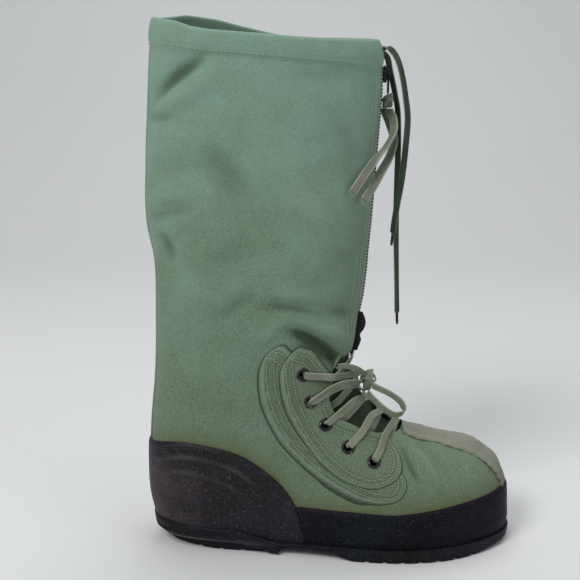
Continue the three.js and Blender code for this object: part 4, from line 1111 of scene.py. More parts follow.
def make_toe_tape():
    rows = np.concatenate([np.linspace(0.55, 1.2, 24, endpoint=False), np.linspace(1.2, 6.32, 120)])
    columns = strip_columns(TAPE_HALF, 40)
    turns = np.empty((len(rows), len(columns)))
    for k, s in enumerate(rows):
        reach_out = np.abs(face(s, np.linspace(-1.5, 1.5, 60))[:, 1] - TAPE_CENTRE).max()
        scale = min(1.0, (reach_out - 0.5) / TAPE_HALF)
        turns[k] = turn_at_y(np.array([s]), TAPE_CENTRE + columns * scale, 0.0)[0]
    lift = rounded_lift(columns, TAPE_HALF, GAP, 1.3, 1.2)
    lift = lift + 0.45 * np.exp(-(((np.abs(columns) - TAPE_HALF + 3) / 1.6) ** 2))
    s_grid = np.broadcast_to(rows[:, None], turns.shape)
    base = face(s_grid, turns)
    wrinkle = 0.7 * np.sin(s_grid * 3.1 + columns / 9) * np.exp(-(((s_grid - 3.0) / 1.6) ** 2))
    pucker = (0.5 + 0.6 * smooth(rows, 3.6, 1.4))[:, None] * np.sin(rows * 17)[:, None] * np.exp(-(((np.abs(columns) - TAPE_HALF) / 3) ** 2))[None, :]
    clear = base[..., 2] > foxing_top(base[..., 0]) - 3
    height = lift[None, :] + wrinkle + pucker
    normal = face_normal(s_grid, turns)
    points = base + normal * (height + 0.6 * crease(base))[..., None]
    flat = points.reshape(-1, 3)
    faces = grid_faces(*turns.shape)
    keep = clear.reshape(-1)[faces].any(axis=1)
    # The wrinkles' height, doubled, drives painted shade in their troughs and a painted highlight on their crests.
    attributes = cloth_attributes(flat, (wrinkle + pucker).ravel() * 2)
    # Painted shade in the crevice along both edges of the tape.
    edge = np.abs(np.broadcast_to(columns, turns.shape)).ravel()
    attributes["painted_shade"] = np.where(edge > TAPE_HALF - 0.1, 0.9, 0.0)
    used, index = np.unique(faces[keep], return_inverse=True)
    attributes = {key: values[used] for key, values in attributes.items()}
    faces = index.reshape(-1, 4)
    obj = new_mesh("toe_tape_strip", flat[used], faces, toe_cloth, uv=grid_uv(points)[used], attributes=attributes)
    fix_normals(obj)
    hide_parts("toe_tape")
    for y in (-TAPE_HALF + 2.2, TAPE_HALF - 2.2):
        run = rows[rows > 1.9]
        t = turn_at_y(run, np.array([TAPE_CENTRE + y]), 0.0)[:, 0]
        STITCH_LINES.append((skin(run, t, 1.75, 0.6), face_normal(run, t), 2.6, False))
    return obj


def make_tongue():
    rows = np.linspace(6.05, 12.4, 130)
    outer = edge_turn(rows, -1, 6.0)
    inner = edge_turn(rows, 1, 6.0)
    wide = np.maximum(outer, 0.16) + np.maximum(inner, 0.16)
    share = np.linspace(0, 1, 60)
    turns = np.maximum(inner, 0.16)[:, None] - share * wide[:, None]
    base = face(rows[:, None], turns)
    sag = -3.6 - 1.5 * np.sin(np.pi * share)[None, :] + 0.8 * np.sin(rows * 3.3)[:, None] * np.sin(np.pi * share)
    ridge = 1.6 * np.exp(-(((share - 0.45) / 0.1) ** 2))[None, :]
    end = -2.5 * smooth(rows, 6.5, 6.05)[:, None]
    normal = face_normal(np.broadcast_to(rows[:, None], turns.shape), turns)
    height = sag + ridge + end
    points = base + normal * height[..., None]
    flat = points.reshape(-1, 3)
    attributes = cloth_attributes(flat, np.zeros(len(flat)))
    attributes["stain"] = attributes["stain"] * 0
    # Painted shade: the tongue lies deep in the throat and is darkened all over.
    attributes["painted_shade"] = np.full(len(flat), 1.2)
    obj = new_mesh("tongue_cloth", flat, grid_faces(*turns.shape), lining, uv=grid_uv(points), attributes=attributes)
    fix_normals(obj)
    thick = obj.modifiers.new("thickness", "SOLIDIFY")
    thick.thickness = 1.6 * MM
    thick.offset = -1
    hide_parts("tongue")
    return obj


# Rubber: walls found by casting rays from a spine inside the foot
SPINE_HEEL = -24.0
SPINE_TOE = 196.0


def form_tree():
    s = np.linspace(0, LAST, 420)
    t = np.linspace(0, 2 * np.pi, 361)[:-1]
    points = face(s[:, None], t[None, :])
    faces = grid_faces(len(s), len(t), closed=True)
    return BVHTree.FromPolygons([tuple(p) for p in points.reshape(-1, 3)], [tuple(int(i) for i in f) for f in faces])


FORM = form_tree()


def stations(step, front=None, extra=()):
    """Places round the foot, each a spine x and a direction, from the outer front round the heel
    to the inner front. With no front they close round the toe."""
    toe = SPINE_TOE if front is None else front
    straight = np.arange(SPINE_HEEL, toe + 1e-6, step)
    for x in extra:
        straight = np.concatenate([straight, [x - 0.12, x + 0.12]])
    straight = np.unique(straight[(straight >= SPINE_HEEL) & (straight <= toe)])
    outer = [(x, -math.pi / 2) for x in straight[::-1]]
    heel = [(SPINE_HEEL, a) for a in np.linspace(-math.pi / 2, -3 * math.pi / 2, 64)[1:-1]]
    inner = [(x, math.pi / 2) for x in straight]
    tip = [] if front is not None else [(SPINE_TOE, a) for a in np.linspace(math.pi / 2, -math.pi / 2, 96)[1:-1]]
    return outer + heel + inner + tip


def wall_points(places, heights):
    """Points of the form's wall: one row per station, one column per height."""
    out = np.zeros((len(places), heights.shape[1], 3))
    for i, (x, angle) in enumerate(places):
        way = Vector((math.cos(angle), math.sin(angle), 0))
        for j, z in enumerate(heights[i]):
            hit = FORM.ray_cast(Vector((x, 3.0 * smooth(x, 100, 190), z)), way)[0]
            out[i, j] = hit if hit is not None else out[i, max(j - 1, 0)]
    return out


def wall_normals(points, closed):
    padded = np.concatenate([points[-1:], points, points[:1]]) if closed else np.concatenate([points[:1], points, points[-1:]])
    around = padded[2:] - padded[:-2]
    upward = np.gradient(points, axis=1)
    normal = unit(np.cross(upward, around))
    for _ in range(3):
        spread = np.concatenate([normal[-1:], normal, normal[:1]]) if closed else np.concatenate([normal[:1], normal, normal[-1:]])
        normal = unit(spread[:-2] + 2 * normal + spread[2:])
    return normal


def smooth_columns(values, passes=2):
    for _ in range(passes):
        wide = np.concatenate([values[:1], values, values[-1:]])
        values = (wide[:-2] + 2 * values + wide[2:]) / 4
    return values


RIBS = [
    [(0.02, 0.5), (0.043, 0.519), (0.115, 0.552), (0.201, 0.527), (0.251, 0.488), (0.286, 0.43), (0.345, 0.325)],
    [(0.02, 0.425), (0.04, 0.445), (0.114, 0.468), (0.166, 0.447), (0.219, 0.414), (0.259, 0.37), (0.286, 0.306)],
]


def rib_height(p):
    flat = p.reshape(-1, 3)
    height = np.zeros(len(flat))
    for rib, size in zip(RIBS, (2.2, 1.9)):
        d, share = polyline_distance(flat[:, [0, 2]], soft_line(on_side(rib), 40))
        fade = smooth(share, 0.0, 0.12) * (1 - 0.85 * smooth(share, 0.6, 1.0))
        height += size * fade * np.exp(-((d / 2.0) ** 2))
    return height.reshape(p.shape[:-1])


def dent(p, x, z, width, depth, side):
    near = ((p[..., 0] - x) / width) ** 2 + ((p[..., 2] - z) / (0.7 * width)) ** 2
    return -depth * np.exp(-near) * (side * p[..., 1] > 0)


def wall_mesh(name, points, closed, material, attributes):
    rows, columns = points.shape[:2]
    faces = grid_faces(rows, columns)
    if closed:
        j = np.arange(columns - 1)
        last = (rows - 1) * columns
        faces = np.vstack([faces, np.stack([last + j, last + j + 1, j + 1, j], -1)])
    obj = new_mesh(name, points.reshape(-1, 3), faces, material, attributes=attributes)
    fix_normals(obj)
    return obj


def rubber_attributes(p, mauve, rubbed):
    shape = p.shape[:-1]
    return {
        "mauve": np.broadcast_to(mauve, shape).ravel(),
        "rubbed": np.clip(np.broadcast_to(rubbed, shape), 0, 1).ravel(),
    }


def make_counter():
    places = stations(1.3, front=67.2)
    middle = wall_points(places, np.full((len(places), 1), 34.0))[:, 0]
    top = smooth_columns(counter_top(middle[:, 0]), 1)
    low = np.interp(middle[:, 0], [20, 54], [20.5, 11.0])
    share = np.concatenate([np.linspace(0, 0.9, 54, endpoint=False), np.linspace(0.9, 1, 12)])
    heights = low[:, None] + (top - low)[:, None] * share
    base = wall_points(places, heights)
    normal = wall_normals(base, False)
    to_top = (top[:, None] - heights)
    lift = 0.1 + (RUBBER_WALL - 0.4) * (1 - np.exp(-to_top / 1.6)) + 0.3 * (1 - np.exp(-to_top / 9))
    lift += rib_height(base)
    lift += 0.35 * np.exp(-(((to_top - 3.2) / 1.5) ** 2))
    lift += dent(base, -8, 46, 22, 0.9, -1) + dent(base, 34, 38, 14, 0.7, -1) + dent(base, 10, 50, 24, 0.8, 1)
    points = base + normal * lift[..., None]
    outer_rear = smooth(-base[..., 0], 0, 52) * smooth(base[..., 2], 96, 60)
    rubbed = 0.7 * rib_height(base) / 2.0 * (0.6 + 0.4 * np.sin(base[..., 0] / 7)) + 0.16 * np.exp(-to_top / 1.5)
    attributes = rubber_attributes(points, outer_rear, rubbed)
    obj = wall_mesh("heel_counter_rubber", points, False, rubber, attributes)
    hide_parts("heel_counter")
    return obj


def make_foxing():
    places = [p for p in stations(1.3)]
    middle = wall_points(places, np.full((len(places), 1), 34.0))[:, 0]
    order = np.nonzero(middle[:, 0] > 52)[0]
    first = next(i for i in range(len(order)) if order[i] + 1 != order[(i + 1) % len(order)] and i + 1 < len(order)) + 1
    order = np.roll(order, -first)
    places = [places[i] for i in order]
    middle = middle[order]
    top = foxing_top(middle[:, 0])
    share = np.concatenate([np.linspace(0, 0.86, 34, endpoint=False), np.linspace(0.86, 1, 12)])
    heights = 9.5 + (top - 9.5)[:, None] * share
    base = wall_points(places, heights)
    normal = wall_normals(base, False)
    to_top = top[:, None] - heights
    seam_x = np.interp(heights, [19, 44], [66.7, 60.2])
    behind = smooth(base[..., 0] - seam_x, 1.6, -0.6)
    lift = 0.1 + (RUBBER_WALL - 0.3) * (1 - np.exp(-to_top / 1.5)) - 1.0 * behind
    lift += 0.3 * np.exp(-(((to_top - 3.4) / 1.5) ** 2))
    toe_bumper = 0.9 * smooth(base[..., 0], 200, 236) * np.exp(-(((heights - 21) / 8) ** 2))
    lift += toe_bumper
    points = base + normal * lift[..., None]
    rubbed = 0.14 * np.exp(-to_top / 1.4) + 0.22 * smooth(base[..., 0], 226, 246)
    obj = wall_mesh("foxing_rubber", points, False, fore_rubber, rubber_attributes(points, 0.0, rubbed))
    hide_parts("foxing")
    return obj


HEEL_GROOVES = [-22.7, -4.3, 14.1, 32.5]
BALL_GROOVES = [119.0, 133.7, 148.4, 163.2, 177.9, 192.7, 207.4]
GROOVE_HALF = 2.0
LUG_FRONT = 45.6


def groove_depth(x):
    depth = np.zeros(np.shape(x))
    for centre in HEEL_GROOVES + BALL_GROOVES:
        depth = np.where(np.abs(x - centre) < GROOVE_HALF, 2.0, depth)
    return depth


def sole_height(x):
    """The sole's lowest height along its length, without grooves."""
    low = np.interp(x, [-54, LUG_FRONT, LUG_FRONT + 0.2, 61, 89, 107.6, 206.8, 247], [0, 0, 8, 8, 7, 0, 0, 5])
    return low


def make_outsole():
    extra = [LUG_FRONT] + [c + d for c in HEEL_GROOVES + BALL_GROOVES for d in (-GROOVE_HALF, GROOVE_HALF)]
    places = stations(1.6, extra=extra)
    probe = wall_points(places, np.full((len(places), 1), 16.0))[:, 0]
    x = probe[:, 0]
    heel = 1 - smooth(x, 2, 51.8)
    lug = (x < LUG_FRONT).astype(float)
    bottom = sole_height(x) + groove_depth(x)
    rim = [(23.0, 3.2), (22.6, 4.8), (21.4, 5.9), (19.5, 6.2), (17.0, 6.1), (16.2, 5.5), (15.4, 6.1), (13.8, 6.0),
           (13.0, 5.3), (12.4, 4.2), (10.6, 3.2), (8.6, 1.6), (8.0, 0.2)]
    band = [(12.0, 2.6), (12.2, 4.2), (11.8, 4.9), (10.8, 5.1), (9.4, 4.95), (8.8, 4.9), (8.2, 4.95), (7.0, 5.0),
            (6.0, 4.95), (4.6, 4.9), (3.4, 4.85), (2.2, 4.8), (1.4, 4.7)]
    heights = np.zeros((len(places), len(rim) + 4))
    lifts = np.zeros_like(heights)
    for j, ((hz, ho), (bz, bo)) in enumerate(zip(rim, band)):
        band_z = bottom + (12.2 - bottom) * (bz / 12.2)
        heights[:, j] = heel * hz + (1 - heel) * band_z
        lifts[:, j] = heel * ho + (1 - heel) * bo
    rear = smooth(x, 0, -50)
    lip = np.clip(heights[:, :11] - 13, 0, None)
    heights[:, :11] += 0.3 * rear[:, None] * lip
    lug_z = [7.4, 6.4, 0.8, 0.0]
    lug_o = [-0.9, -1.0, -1.1, -1.9]
    for k in range(4):
        j = len(rim) + k
        under = np.where(lug > 0.5, np.maximum(lug_z[k], bottom), bottom + (0.5 - 0.17 * k))
        heights[:, j] = np.where(lug > 0.5, under, np.where(heel > 0.02, np.minimum(under, heights[:, j - 1]), under))
        heights[:, j] = np.maximum(heights[:, j], bottom)
        lifts[:, j] = np.where(lug > 0.5, lug_o[k] - 5.0 * rear, lifts[:, len(rim) - 1] - 0.25 * (k + 1) ** 1.3)
    lookup = np.maximum(heights, 9.0)
    base = wall_points(places, lookup)
    normal = wall_normals(wall_points(places, np.broadcast_to(np.array([[14.0, 18.0]]), (len(places), 2))), True)
    normal = normal[:, :1] * np.array([1, 1, 0])
    normal = unit(normal)
    reference = wall_points(places, np.full((len(places), 1), 15.0))
    plan = reference * (1 - 0.35) + base * 0.35
    points = plan + normal * lifts[..., None]
    points[..., 2] = heights
    rubbed = 0.8 * heel[:, None] * ((heights < 13.2) & (heights > 8.2)) * smooth(-points[..., 1], 0, 30)
    rows, columns = points.shape[:2]
    faces = [tuple(f) for f in grid_faces(rows, columns)]
    last = (rows - 1) * columns
    faces += [(last + j, last + j + 1, j + 1, j) for j in range(columns - 1)]
    flat = [tuple(p) for p in points.reshape(-1, 3)]
    loop = points[:, -1, :2]
    under, triangles = sole_underside(loop)
    start = len(flat)
    index = {}
    for i, p in enumerate(under):
        d = np.linalg.norm(loop - p[:2], axis=1)
        k = int(np.argmin(d))
        index[i] = k * columns + columns - 1 if d[k] < 1e-3 else None
    for i, p in enumerate(under):
        if index[i] is None:
            index[i] = len(flat)
            flat.append(tuple(p))
    faces += [tuple(index[i] for i in f) for f in triangles]
    mauve = np.zeros(len(flat))
    wear_and_painted_highlight = np.concatenate([np.clip(rubbed, 0, 1).ravel(), np.full(len(flat) - start, 0.25)])
    obj = new_mesh("outsole_rubber", flat, faces, sole_rubber, attributes={"mauve": mauve, "rubbed": wear_and_painted_highlight}, flat=False)
    fix_normals(obj)
    obj.data.set_sharp_from_angle(angle=math.radians(38))
    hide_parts("outsole")
    return obj


def sole_underside(loop):
    """Points and triangles of the tread inside the sole's outline."""
    xs = list(np.arange(-64, 247, 5.0))
    for c in HEEL_GROOVES + BALL_GROOVES:
        for d in (-GROOVE_HALF, GROOVE_HALF):
            xs += [c + d - 0.12, c + d + 0.12]
    xs += [LUG_FRONT - 0.1, LUG_FRONT + 0.3]
    cells = np.array([(x, y) for x in sorted(xs) for y in np.arange(-54, 55, 4.0)])
    cells = cells[inside_loop(cells, loop)]
    cells = cells[loop_distance(cells, loop) > 0.8]
    points = np.vstack([loop, cells])
    edges = [(i, (i + 1) % len(loop)) for i in range(len(loop))]
    found = delaunay_2d_cdt([Vector(p) for p in points], edges, [], 0, 1e-5)
    flat = np.array([tuple(v) for v in found[0]])
    triangles = [f for f in found[2] if len(f) == 3]
    middle = np.array([flat[list(f)].mean(axis=0) for f in triangles])
    keep = inside_loop(middle, loop)
    triangles = [tuple(reversed(f)) for f, ok in zip(triangles, keep) if ok]
    z = sole_height(flat[:, 0]) + groove_depth(flat[:, 0])
    return np.column_stack([flat, z]), triangles


def make_insole():
    places = stations(3.0)
    heights = np.tile(np.array([[15.3, 15.3, 14.6, 12.4]]), (len(places), 1))
    base = wall_points(places, heights)
    centre = np.array([[x, 0, 15.3] for x, _ in places])
    ring = base[:, 0] + unit(centre - base[:, 0]) * 2.6
    inner = base[:, 0] + unit(centre - base[:, 0]) * 5.0
    rows = np.stack([centre, inner, ring, ring - np.array([0, 0, 2.9])], axis=1)
    rows[:, 1, 2] = 15.2
    rows[:, 2, 2] = 14.7
    rows[:, 0, 2] = 15.2
    obj = wall_mesh("insole_felt", rows, True, felt, None)
    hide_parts("insole")
    return obj


# Small turned and swept parts
def lathe(name, profile, origin, axis, material, segments=28, body="root", rubbed=None):
    """A closed ring or pin, turned from (radius, height) rows about an axis."""
    axis = unit(np.asarray(axis, float))
    first = unit(np.cross(axis, [0.3, 0.9, 0.2]))
    second = np.cross(axis, first)
    turns = np.linspace(0, 2 * np.pi, segments, endpoint=False)
    points = np.array([
        origin + (first * math.cos(a) + second * math.sin(a)) * r + axis * h
        for r, h in profile for a in turns
    ])
    faces = [tuple(f) for f in grid_faces(len(profile), segments, closed=True)]
    if np.allclose(profile[0], profile[-1]):
        points = points[:-segments]
        total = len(points)
        faces = [tuple(i % total for i in f) for f in faces]
    else:
        faces.append(tuple(reversed(range(segments))))
        faces.append(tuple(range(len(points) - segments, len(points))))
    wear_and_painted_highlight = np.zeros(len(points)) if rubbed is None else np.repeat(rubbed, segments)[:len(points)]
    return new_mesh(name, points, faces, material, body=body, attributes={"rubbed": wear_and_painted_highlight})


def join(name, objects):
    """Joins a list of meshes into one piece."""
    data = [(o, o.data) for o in objects]
    work = bmesh.new()
    for _, mesh in data:
        work.from_mesh(mesh)
    mesh = bpy.data.meshes.new(name)
    work.to_mesh(mesh)
    work.free()
    mesh.materials.append(objects[0].data.materials[0])
    obj = bpy.data.objects.new(name, mesh)
    bpy.context.collection.objects.link(obj)
    for old, old_mesh in data:
        bpy.data.objects.remove(old)
        bpy.data.meshes.remove(old_mesh)
    return obj


def tube(name, path, radius, material, body="root", sides=12, closed=False):
    path = np.asarray(path, float)
    if closed:
        tangent = unit(np.roll(path, -1, axis=0) - np.roll(path, 1, axis=0))
    else:
        tangent = unit(np.gradient(path, axis=0))
    guide = np.array([0.13, 0.97, 0.21])
    across = unit(np.cross(tangent, guide))
    up = np.cross(across, tangent)
    turns = np.linspace(0, 2 * np.pi, sides, endpoint=False)
    rings = [path + across * math.cos(a) * radius + up * math.sin(a) * radius for a in turns]
    points = np.stack(rings, axis=1).reshape(-1, 3)
    rows = len(path)
    faces = [tuple(f) for f in grid_faces(rows, sides, closed=True)]
    if closed:
        last = (rows - 1) * sides
        faces += [(last + c, last + (c + 1) % sides, (c + 1) % sides, c) for c in range(sides)]
    else:
        faces.append(tuple(reversed(range(sides))))
        faces.append(tuple(range((rows - 1) * sides, rows * sides)))
    return new_mesh(name, points, faces, material, body=body, attributes={"rubbed": np.full(len(points), 0.5)})


def soft_plate(name, centre, half, powers, material, body="root"):
    """A rounded block: a superellipsoid with flat faces and soft edges."""
    low, high = np.linspace(-np.pi / 2, np.pi / 2, 22), np.linspace(-np.pi, np.pi, 44, endpoint=False)
    v, u = np.meshgrid(low, high, indexing="ij")

    def bent(value, power):
        return np.sign(value) * np.abs(value) ** (2 / power)

    p, q = powers
    x = bent(np.sin(v), p) * half[0]
    y = bent(np.cos(v), p) * bent(np.cos(u), q) * half[1]
    z = bent(np.cos(v), p) * bent(np.sin(u), q) * half[2]
    points = np.stack([x, y, z], -1).reshape(-1, 3) + centre
    rub = np.full(len(points), 0.35)
    faces = grid_faces(22, 44, closed=True)
    return new_mesh(name, points, faces, material, body=body, attributes={"rubbed": rub})


def width_along(path, axis):
    """Facings that lay a tape's width along an axis."""
    tangent = unit(np.gradient(np.asarray(path, float), axis=0))
    return np.cross(np.broadcast_to(np.asarray(axis, float), tangent.shape), tangent)


# The cords. Their routes are the frame's, in millimetres.
PIVOT = np.array([132.23, 0.0, 399.0])
PULL_KNOT = np.array([132.23, 0.0, 375.3])
TAIL_TOP = 369.41
DRAWCORD_OUTER = [
    (124.4, -9, 415), (132, -10, 415), (138, -11, 407), (142, -12, 394), (145, -12, 378), (147, -12, 362),
    (146, -12, 340), (144, -12, 316), (141, -12, 296), (139, -12, 282), (138, -12, 272),
]
DRAWCORD_INNER = [
    (125.6, 9, 414), (132, 10, 409), (135, 11, 398), (139, 12, 382), (142, 12, 366), (143, 12, 340),
    (143, 12, 310), (143, 12, 280), (144, 12, 250), (145, 12, 225), (146, 12, 199),
]
TAIL_ONE = [
    (1.4, -2.2, 0), (1.6, -2.6, -3), (4, -6, -7), (4, -13, -17), (-2, -21, -27), (-12, -29, -38),
    (-21, -35, -50), (-29, -39.5, -61),
]
TAIL_TWO = [
    (-1.5, 2.2, 0), (-1.3, 2.2, -3), (2.4, 0.6, -12), (5, -7, -24), (1, -16, -36), (-6, -24, -47),
    (-13, -31, -58), (-20, -37, -68),
]
BOW_LOOP = [
    (3.1, -5.7, -2.7), (9, -11, -4), (19, -15, -8), (27, -16, -15), (28, -16, -22), (22, -16, -25),
    (13, -17, -20), (4, -15, -12), (-1, -9.5, -7.5),
]
BOW_END = [
    (-6.8, -5.4, -0.6), (-14, -14, 3), (-24, -24.8, 5.6), (-34, -34.5, 4.5), (-43, -41.5, 0.5),
    (-50, -45, -3.5),
]
BOW_TIP = [(-3.5, -4, 6.8), (-10, -10, 13), (-16, -16, 17), (-22, -22, 20), (-27, -27, 21)]
BOW_KNOT = np.mean([np.array(corner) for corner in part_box("bow_knot")], axis=0) / MM


def hanging_cord(name, node, route, width, twist):
    path = smooth_route(route, 70)
    share = np.linspace(0, 1, len(path))
    angle = twist * np.sin(share * 5.2)
    axis = np.stack([np.cos(angle), np.sin(angle), np.zeros(len(path))], -1)
    cord = ribbon(name, path, np.cross(axis, unit(np.gradient(path, axis=0))), width, 1.6, cord_tape)
    way = unit(path[-1] - path[-3])
    start = path[-1] - way * 0.6
    profile = [(1.35, 0), (1.45, 0.5), (1.4, 1.4), (1.2, 1.9), (1.18, 8.0), (1.05, 10.4), (0.6, 11.3), (0.1, 11.5)]
    side = "outer" if "outer" in name else "inner"
    rubbed = [0.7, 0.9, 0.6, 0.2, 0.2, 0.5, 0.8, 0.8]
    tip = lathe(f"cord_tip_{side}", profile, start, way, black_metal, 20, rubbed=rubbed)
    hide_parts(f"aglet_{side}")
    declare_cord([node])
    return cord


def make_tails():
    for number, rows, lean in ((1, TAIL_ONE, 0.25), (2, TAIL_TWO, -0.1)):
        route = np.array(rows, float) + [PULL_KNOT[0], 0, TAIL_TOP]
        path = smooth_route(route, 60)
        share = np.linspace(0, 1, len(path))
        axis = np.stack([0.8 - 0.2 * share, -0.35 + 0.5 * share, lean + 0.35 * np.sin(share * 4)], -1)
        tail = ribbon(f"tail_tape_{number}", path, width_along(path, axis), 7.0, 1.4, khaki, body=None)
        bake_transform(tail)
        way = unit(path[-1] - path[-4])
        across = unit(np.cross(way, np.cross(unit(axis[-1]), way)))
        frayed = fringe(f"tail_fray_{number}", path[-1], way, across, 7.0, thread, count=16, reach=4.5)
        declare_cord([f"pull_tail_{number}"])


def make_bow():
    loop_path = smooth_route(np.array(BOW_LOOP) + BOW_KNOT, 80)
    loop = ribbon("lace_loop", loop_path, width_along(loop_path, (0.3, -0.42, 1.0)), 6.0, 1.3, lace_tape)
    declare_cord(["bow_loop"])
    end_path = smooth_route(np.array(BOW_END) + BOW_KNOT, 50)
    share = np.linspace(0, 1, len(end_path))
    axis = np.stack([0.35 - 0.2 * share, -0.3 + 0 * share, 0.9 + 0 * share], -1)
    end = ribbon("lace_end", end_path, width_along(end_path, axis), 6.0, 1.3, lace_tape)
    way = unit(end_path[-1] - end_path[-4])
    across = unit(np.cross(way, np.cross(axis[-1], way)))
    frayed = fringe("lace_end_fray", end_path[-1], way, across, 6.0, thread, count=12, reach=3.0)
    declare_cord(["bow_end"])
    tip_path = smooth_route(np.array(BOW_TIP) + BOW_KNOT, 36)
    tip = ribbon("lace_tip", tip_path, width_along(tip_path, (0.2, -0.25, 0.9)), 5.0, 1.3, lace_tape)
    way = unit(tip_path[-1] - tip_path[-4])
    across = unit(np.cross(way, np.cross(np.array([0.2, -0.25, 0.9]), way)))
    frayed = fringe("lace_tip_fray", tip_path[-1], way, across, 5.0, thread, count=10, reach=2.6)
    declare_cord(["bow_tip"])


def overhand(centre, size, turn, count=110):
    """The centre line of a pulled-tight overhand knot."""
    t = np.linspace(0, 2 * np.pi, count)
    x = (np.sin(t) + 2 * np.sin(2 * t)) / 3
    y = (np.cos(t) - 2 * np.cos(2 * t)) / 3
    z = -np.sin(3 * t) * 0.55
    c, s = math.cos(turn), math.sin(turn)
    return centre + np.stack([x * c - z * s, z * c + x * s, y], -1) * size


def knot(name, node, centre, size, turn, width, material, body, wrap_axis, wrap):
    path = overhand(centre, np.asarray(size), turn)
    core = ribbon(name + "_core", path, path - centre, width, 1.5, material, body=None)
    t = np.linspace(0, 2 * np.pi, 60)
    high, deep, lean = wrap
    ring = centre + np.stack([lean * np.sin(t), -deep * np.cos(t), high * np.sin(t)], -1)
    band = ribbon(name + "_wrap", ring, width_along(ring, wrap_axis), width, 1.5, material, body=None)
    heart = soft_plate(name + "_heart", centre, (0.85 * deep, 0.8 * deep, 0.78 * high), (2.4, 2.4), material, body=None)
    whole = join(name, [core, band, heart])
    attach(whole, body)
    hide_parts(node)
    return whole


# Eyelets and laces
STAY_FACE = GAP + PATCH_THICKNESS + GAP + STAY_THICKNESS
EYELET_PROFILE = [
    (5.55, -0.25), (5.7, 0.1), (5.6, 0.5), (5.2, 0.85), (4.7, 1.0), (4.2, 0.95), (3.7, 0.65), (3.3, 0.1),
    (3.12, -0.6), (3.1, -5.2), (3.5, -5.4), (3.9, -5.1), (3.95, -0.25), (5.55, -0.25),
]
EYELET_WEAR = [0.0, 0.2, 0.5, 1.0, 1.0, 0.7, 0.5, 0.6, 0.3, 0.0, 0.0, 0.0, 0.0, 0.0]


def make_eyelets():
    for side, seats in (("outer", OUTER_SEATS), ("inner", INNER_SEATS)):
        for number, seat in enumerate(seats, start=1):
            origin = stiff_skin(*seat, STAY_FACE)
            ring = lathe(
                f"ring_{side}_{number}", EYELET_PROFILE, origin, face_normal(*seat), black_metal, rubbed=EYELET_WEAR
            )
            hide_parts(f"eyelet_{side}_{number}")


STRAND_PASSES = [(334, 376), (346, 384), (352, 401), (369, 417), (383, 437)]
CROSSINGS = [(0.2, -0.04, 16.0), (0.41, 0.21, 5.0), (0.57, 0.41, 5.0), (0.79, 0.73, 5.0), (0.92, 0.93, 5.0)]


def seen_place(u, v):
    """The place on the instep that the camera sees at a pixel."""
    pitch = math.radians(14.04)

    def score(p):
        forward, up = p[..., 1] + 727, p[..., 2] - 403
        depth = forward * math.cos(pitch) - up * math.sin(pitch)
        rise = forward * math.sin(pitch) + up * math.cos(pitch)
        return np.hypot(290 + 900 * (p[..., 0] - 55) / depth - u, 290 - 900 * rise / depth - v)

    return nearest_place(score, -1.35, -0.12)


def lace_route(seat, rows):
    """A strand out of an eyelet's hole and over a list of (place, lift)."""
    start = face(*seat)
    normal = face_normal(*seat)
    first = face(*rows[0][0])
    toward = unit(first - start)
    points = [
        start + normal * (STAY_FACE - 3.2) + toward * 0.9,
        start + normal * (STAY_FACE - 0.6) + toward * 1.5,
        start + normal * (STAY_FACE + 1.6) + toward * 3.6,
    ]
    for place, lift in rows:
        points.append(face(*place) + face_normal(*place) * lift)
    return soft_line(points, 46)


def make_laces():
    for number, (inner_along, outer_along, inset) in enumerate(CROSSINGS, start=1):
        outer_seat, inner_seat = OUTER_SEATS[number - 1], INNER_SEATS[number - 1]
        outer_half = float(throat_half(outer_along))
        inner_half = float(throat_half(inner_along))
        passing = np.array(seen_place(*STRAND_PASSES[number - 1]))
        over = [
            (tuple((np.array(outer_seat) + passing) / 2), 4.6),
            (passing, 3.6),
            (throat_place(inner_along, inner_half - inset), 1.7),
            (throat_place(inner_along, inner_half - 1.0), -0.8),
            (throat_place(inner_along, inner_half + 5.0), -2.7),
        ]
        seat_along = INNER_ALONGS[number - 1]
        cross = [
            (throat_place(seat_along, inner_half + 1.0), 3.7),
            (throat_place(seat_along, inner_half - 5.0), 1.6),
            (throat_place((seat_along + outer_along) / 2, 0.0), 0.2),
            (throat_place(outer_along, 4.5 - outer_half), -0.5),
            (throat_place(outer_along, 0.5 - outer_half), -1.9),
            (throat_place(outer_along, -5.0 - outer_half), -2.7),
        ]
        strands = []
        for label, seat, rows in (("a", outer_seat, over), ("b", inner_seat, cross)):
            path = lace_route(seat, rows)
            facings = np.array([face_normal(*place_of(p)) for p in path[::5]])
            at = np.linspace(0, 1, len(path))
            up = np.stack([np.interp(at, np.linspace(0, 1, len(facings)), facings[:, c]) for c in range(3)], -1)
            swell = 1 - 0.4 * np.exp(-((at / 0.06) ** 2))
            tilt = 0.25 * np.sin(number * 2.3 + at * 3)
            across = np.cross(unit(np.gradient(path, axis=0)), up)
            up = up + across * tilt[:, None]
            strands.append(ribbon(f"strand_{label}_{number}", path, up, 6.0, 1.25, lace_tape, body=None, swell=swell))
        pair = join(f"lace_pair_{number}", strands)
        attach(pair, "root")
        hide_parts(f"lace_crossing_{number}")


# The zip
def front_rows(low, high, count):
    """Sections whose front ridge runs evenly between two heights."""
    s = np.linspace(9, LAST, 900)
    z = face(s, 0.0)[:, 2]
    return np.interp(np.linspace(low, high, count), z, s)


def tooth_block(centre, across, along, out, half):
    corners = []
    for layer, size in ((-0.5, 1.0), (0.35, 1.0), (0.8, 0.86), (1.0, 0.6)):
        for a, b in ((-1, -0.8), (-0.8, -1), (0.8, -1), (1, -0.8), (1, 0.8), (0.8, 1), (-0.8, 1), (-1, 0.8)):
            place = centre + across * a * half[0] * size + along * b * half[1] * size + out * layer * half[2]
            corners.append(place)
    return corners


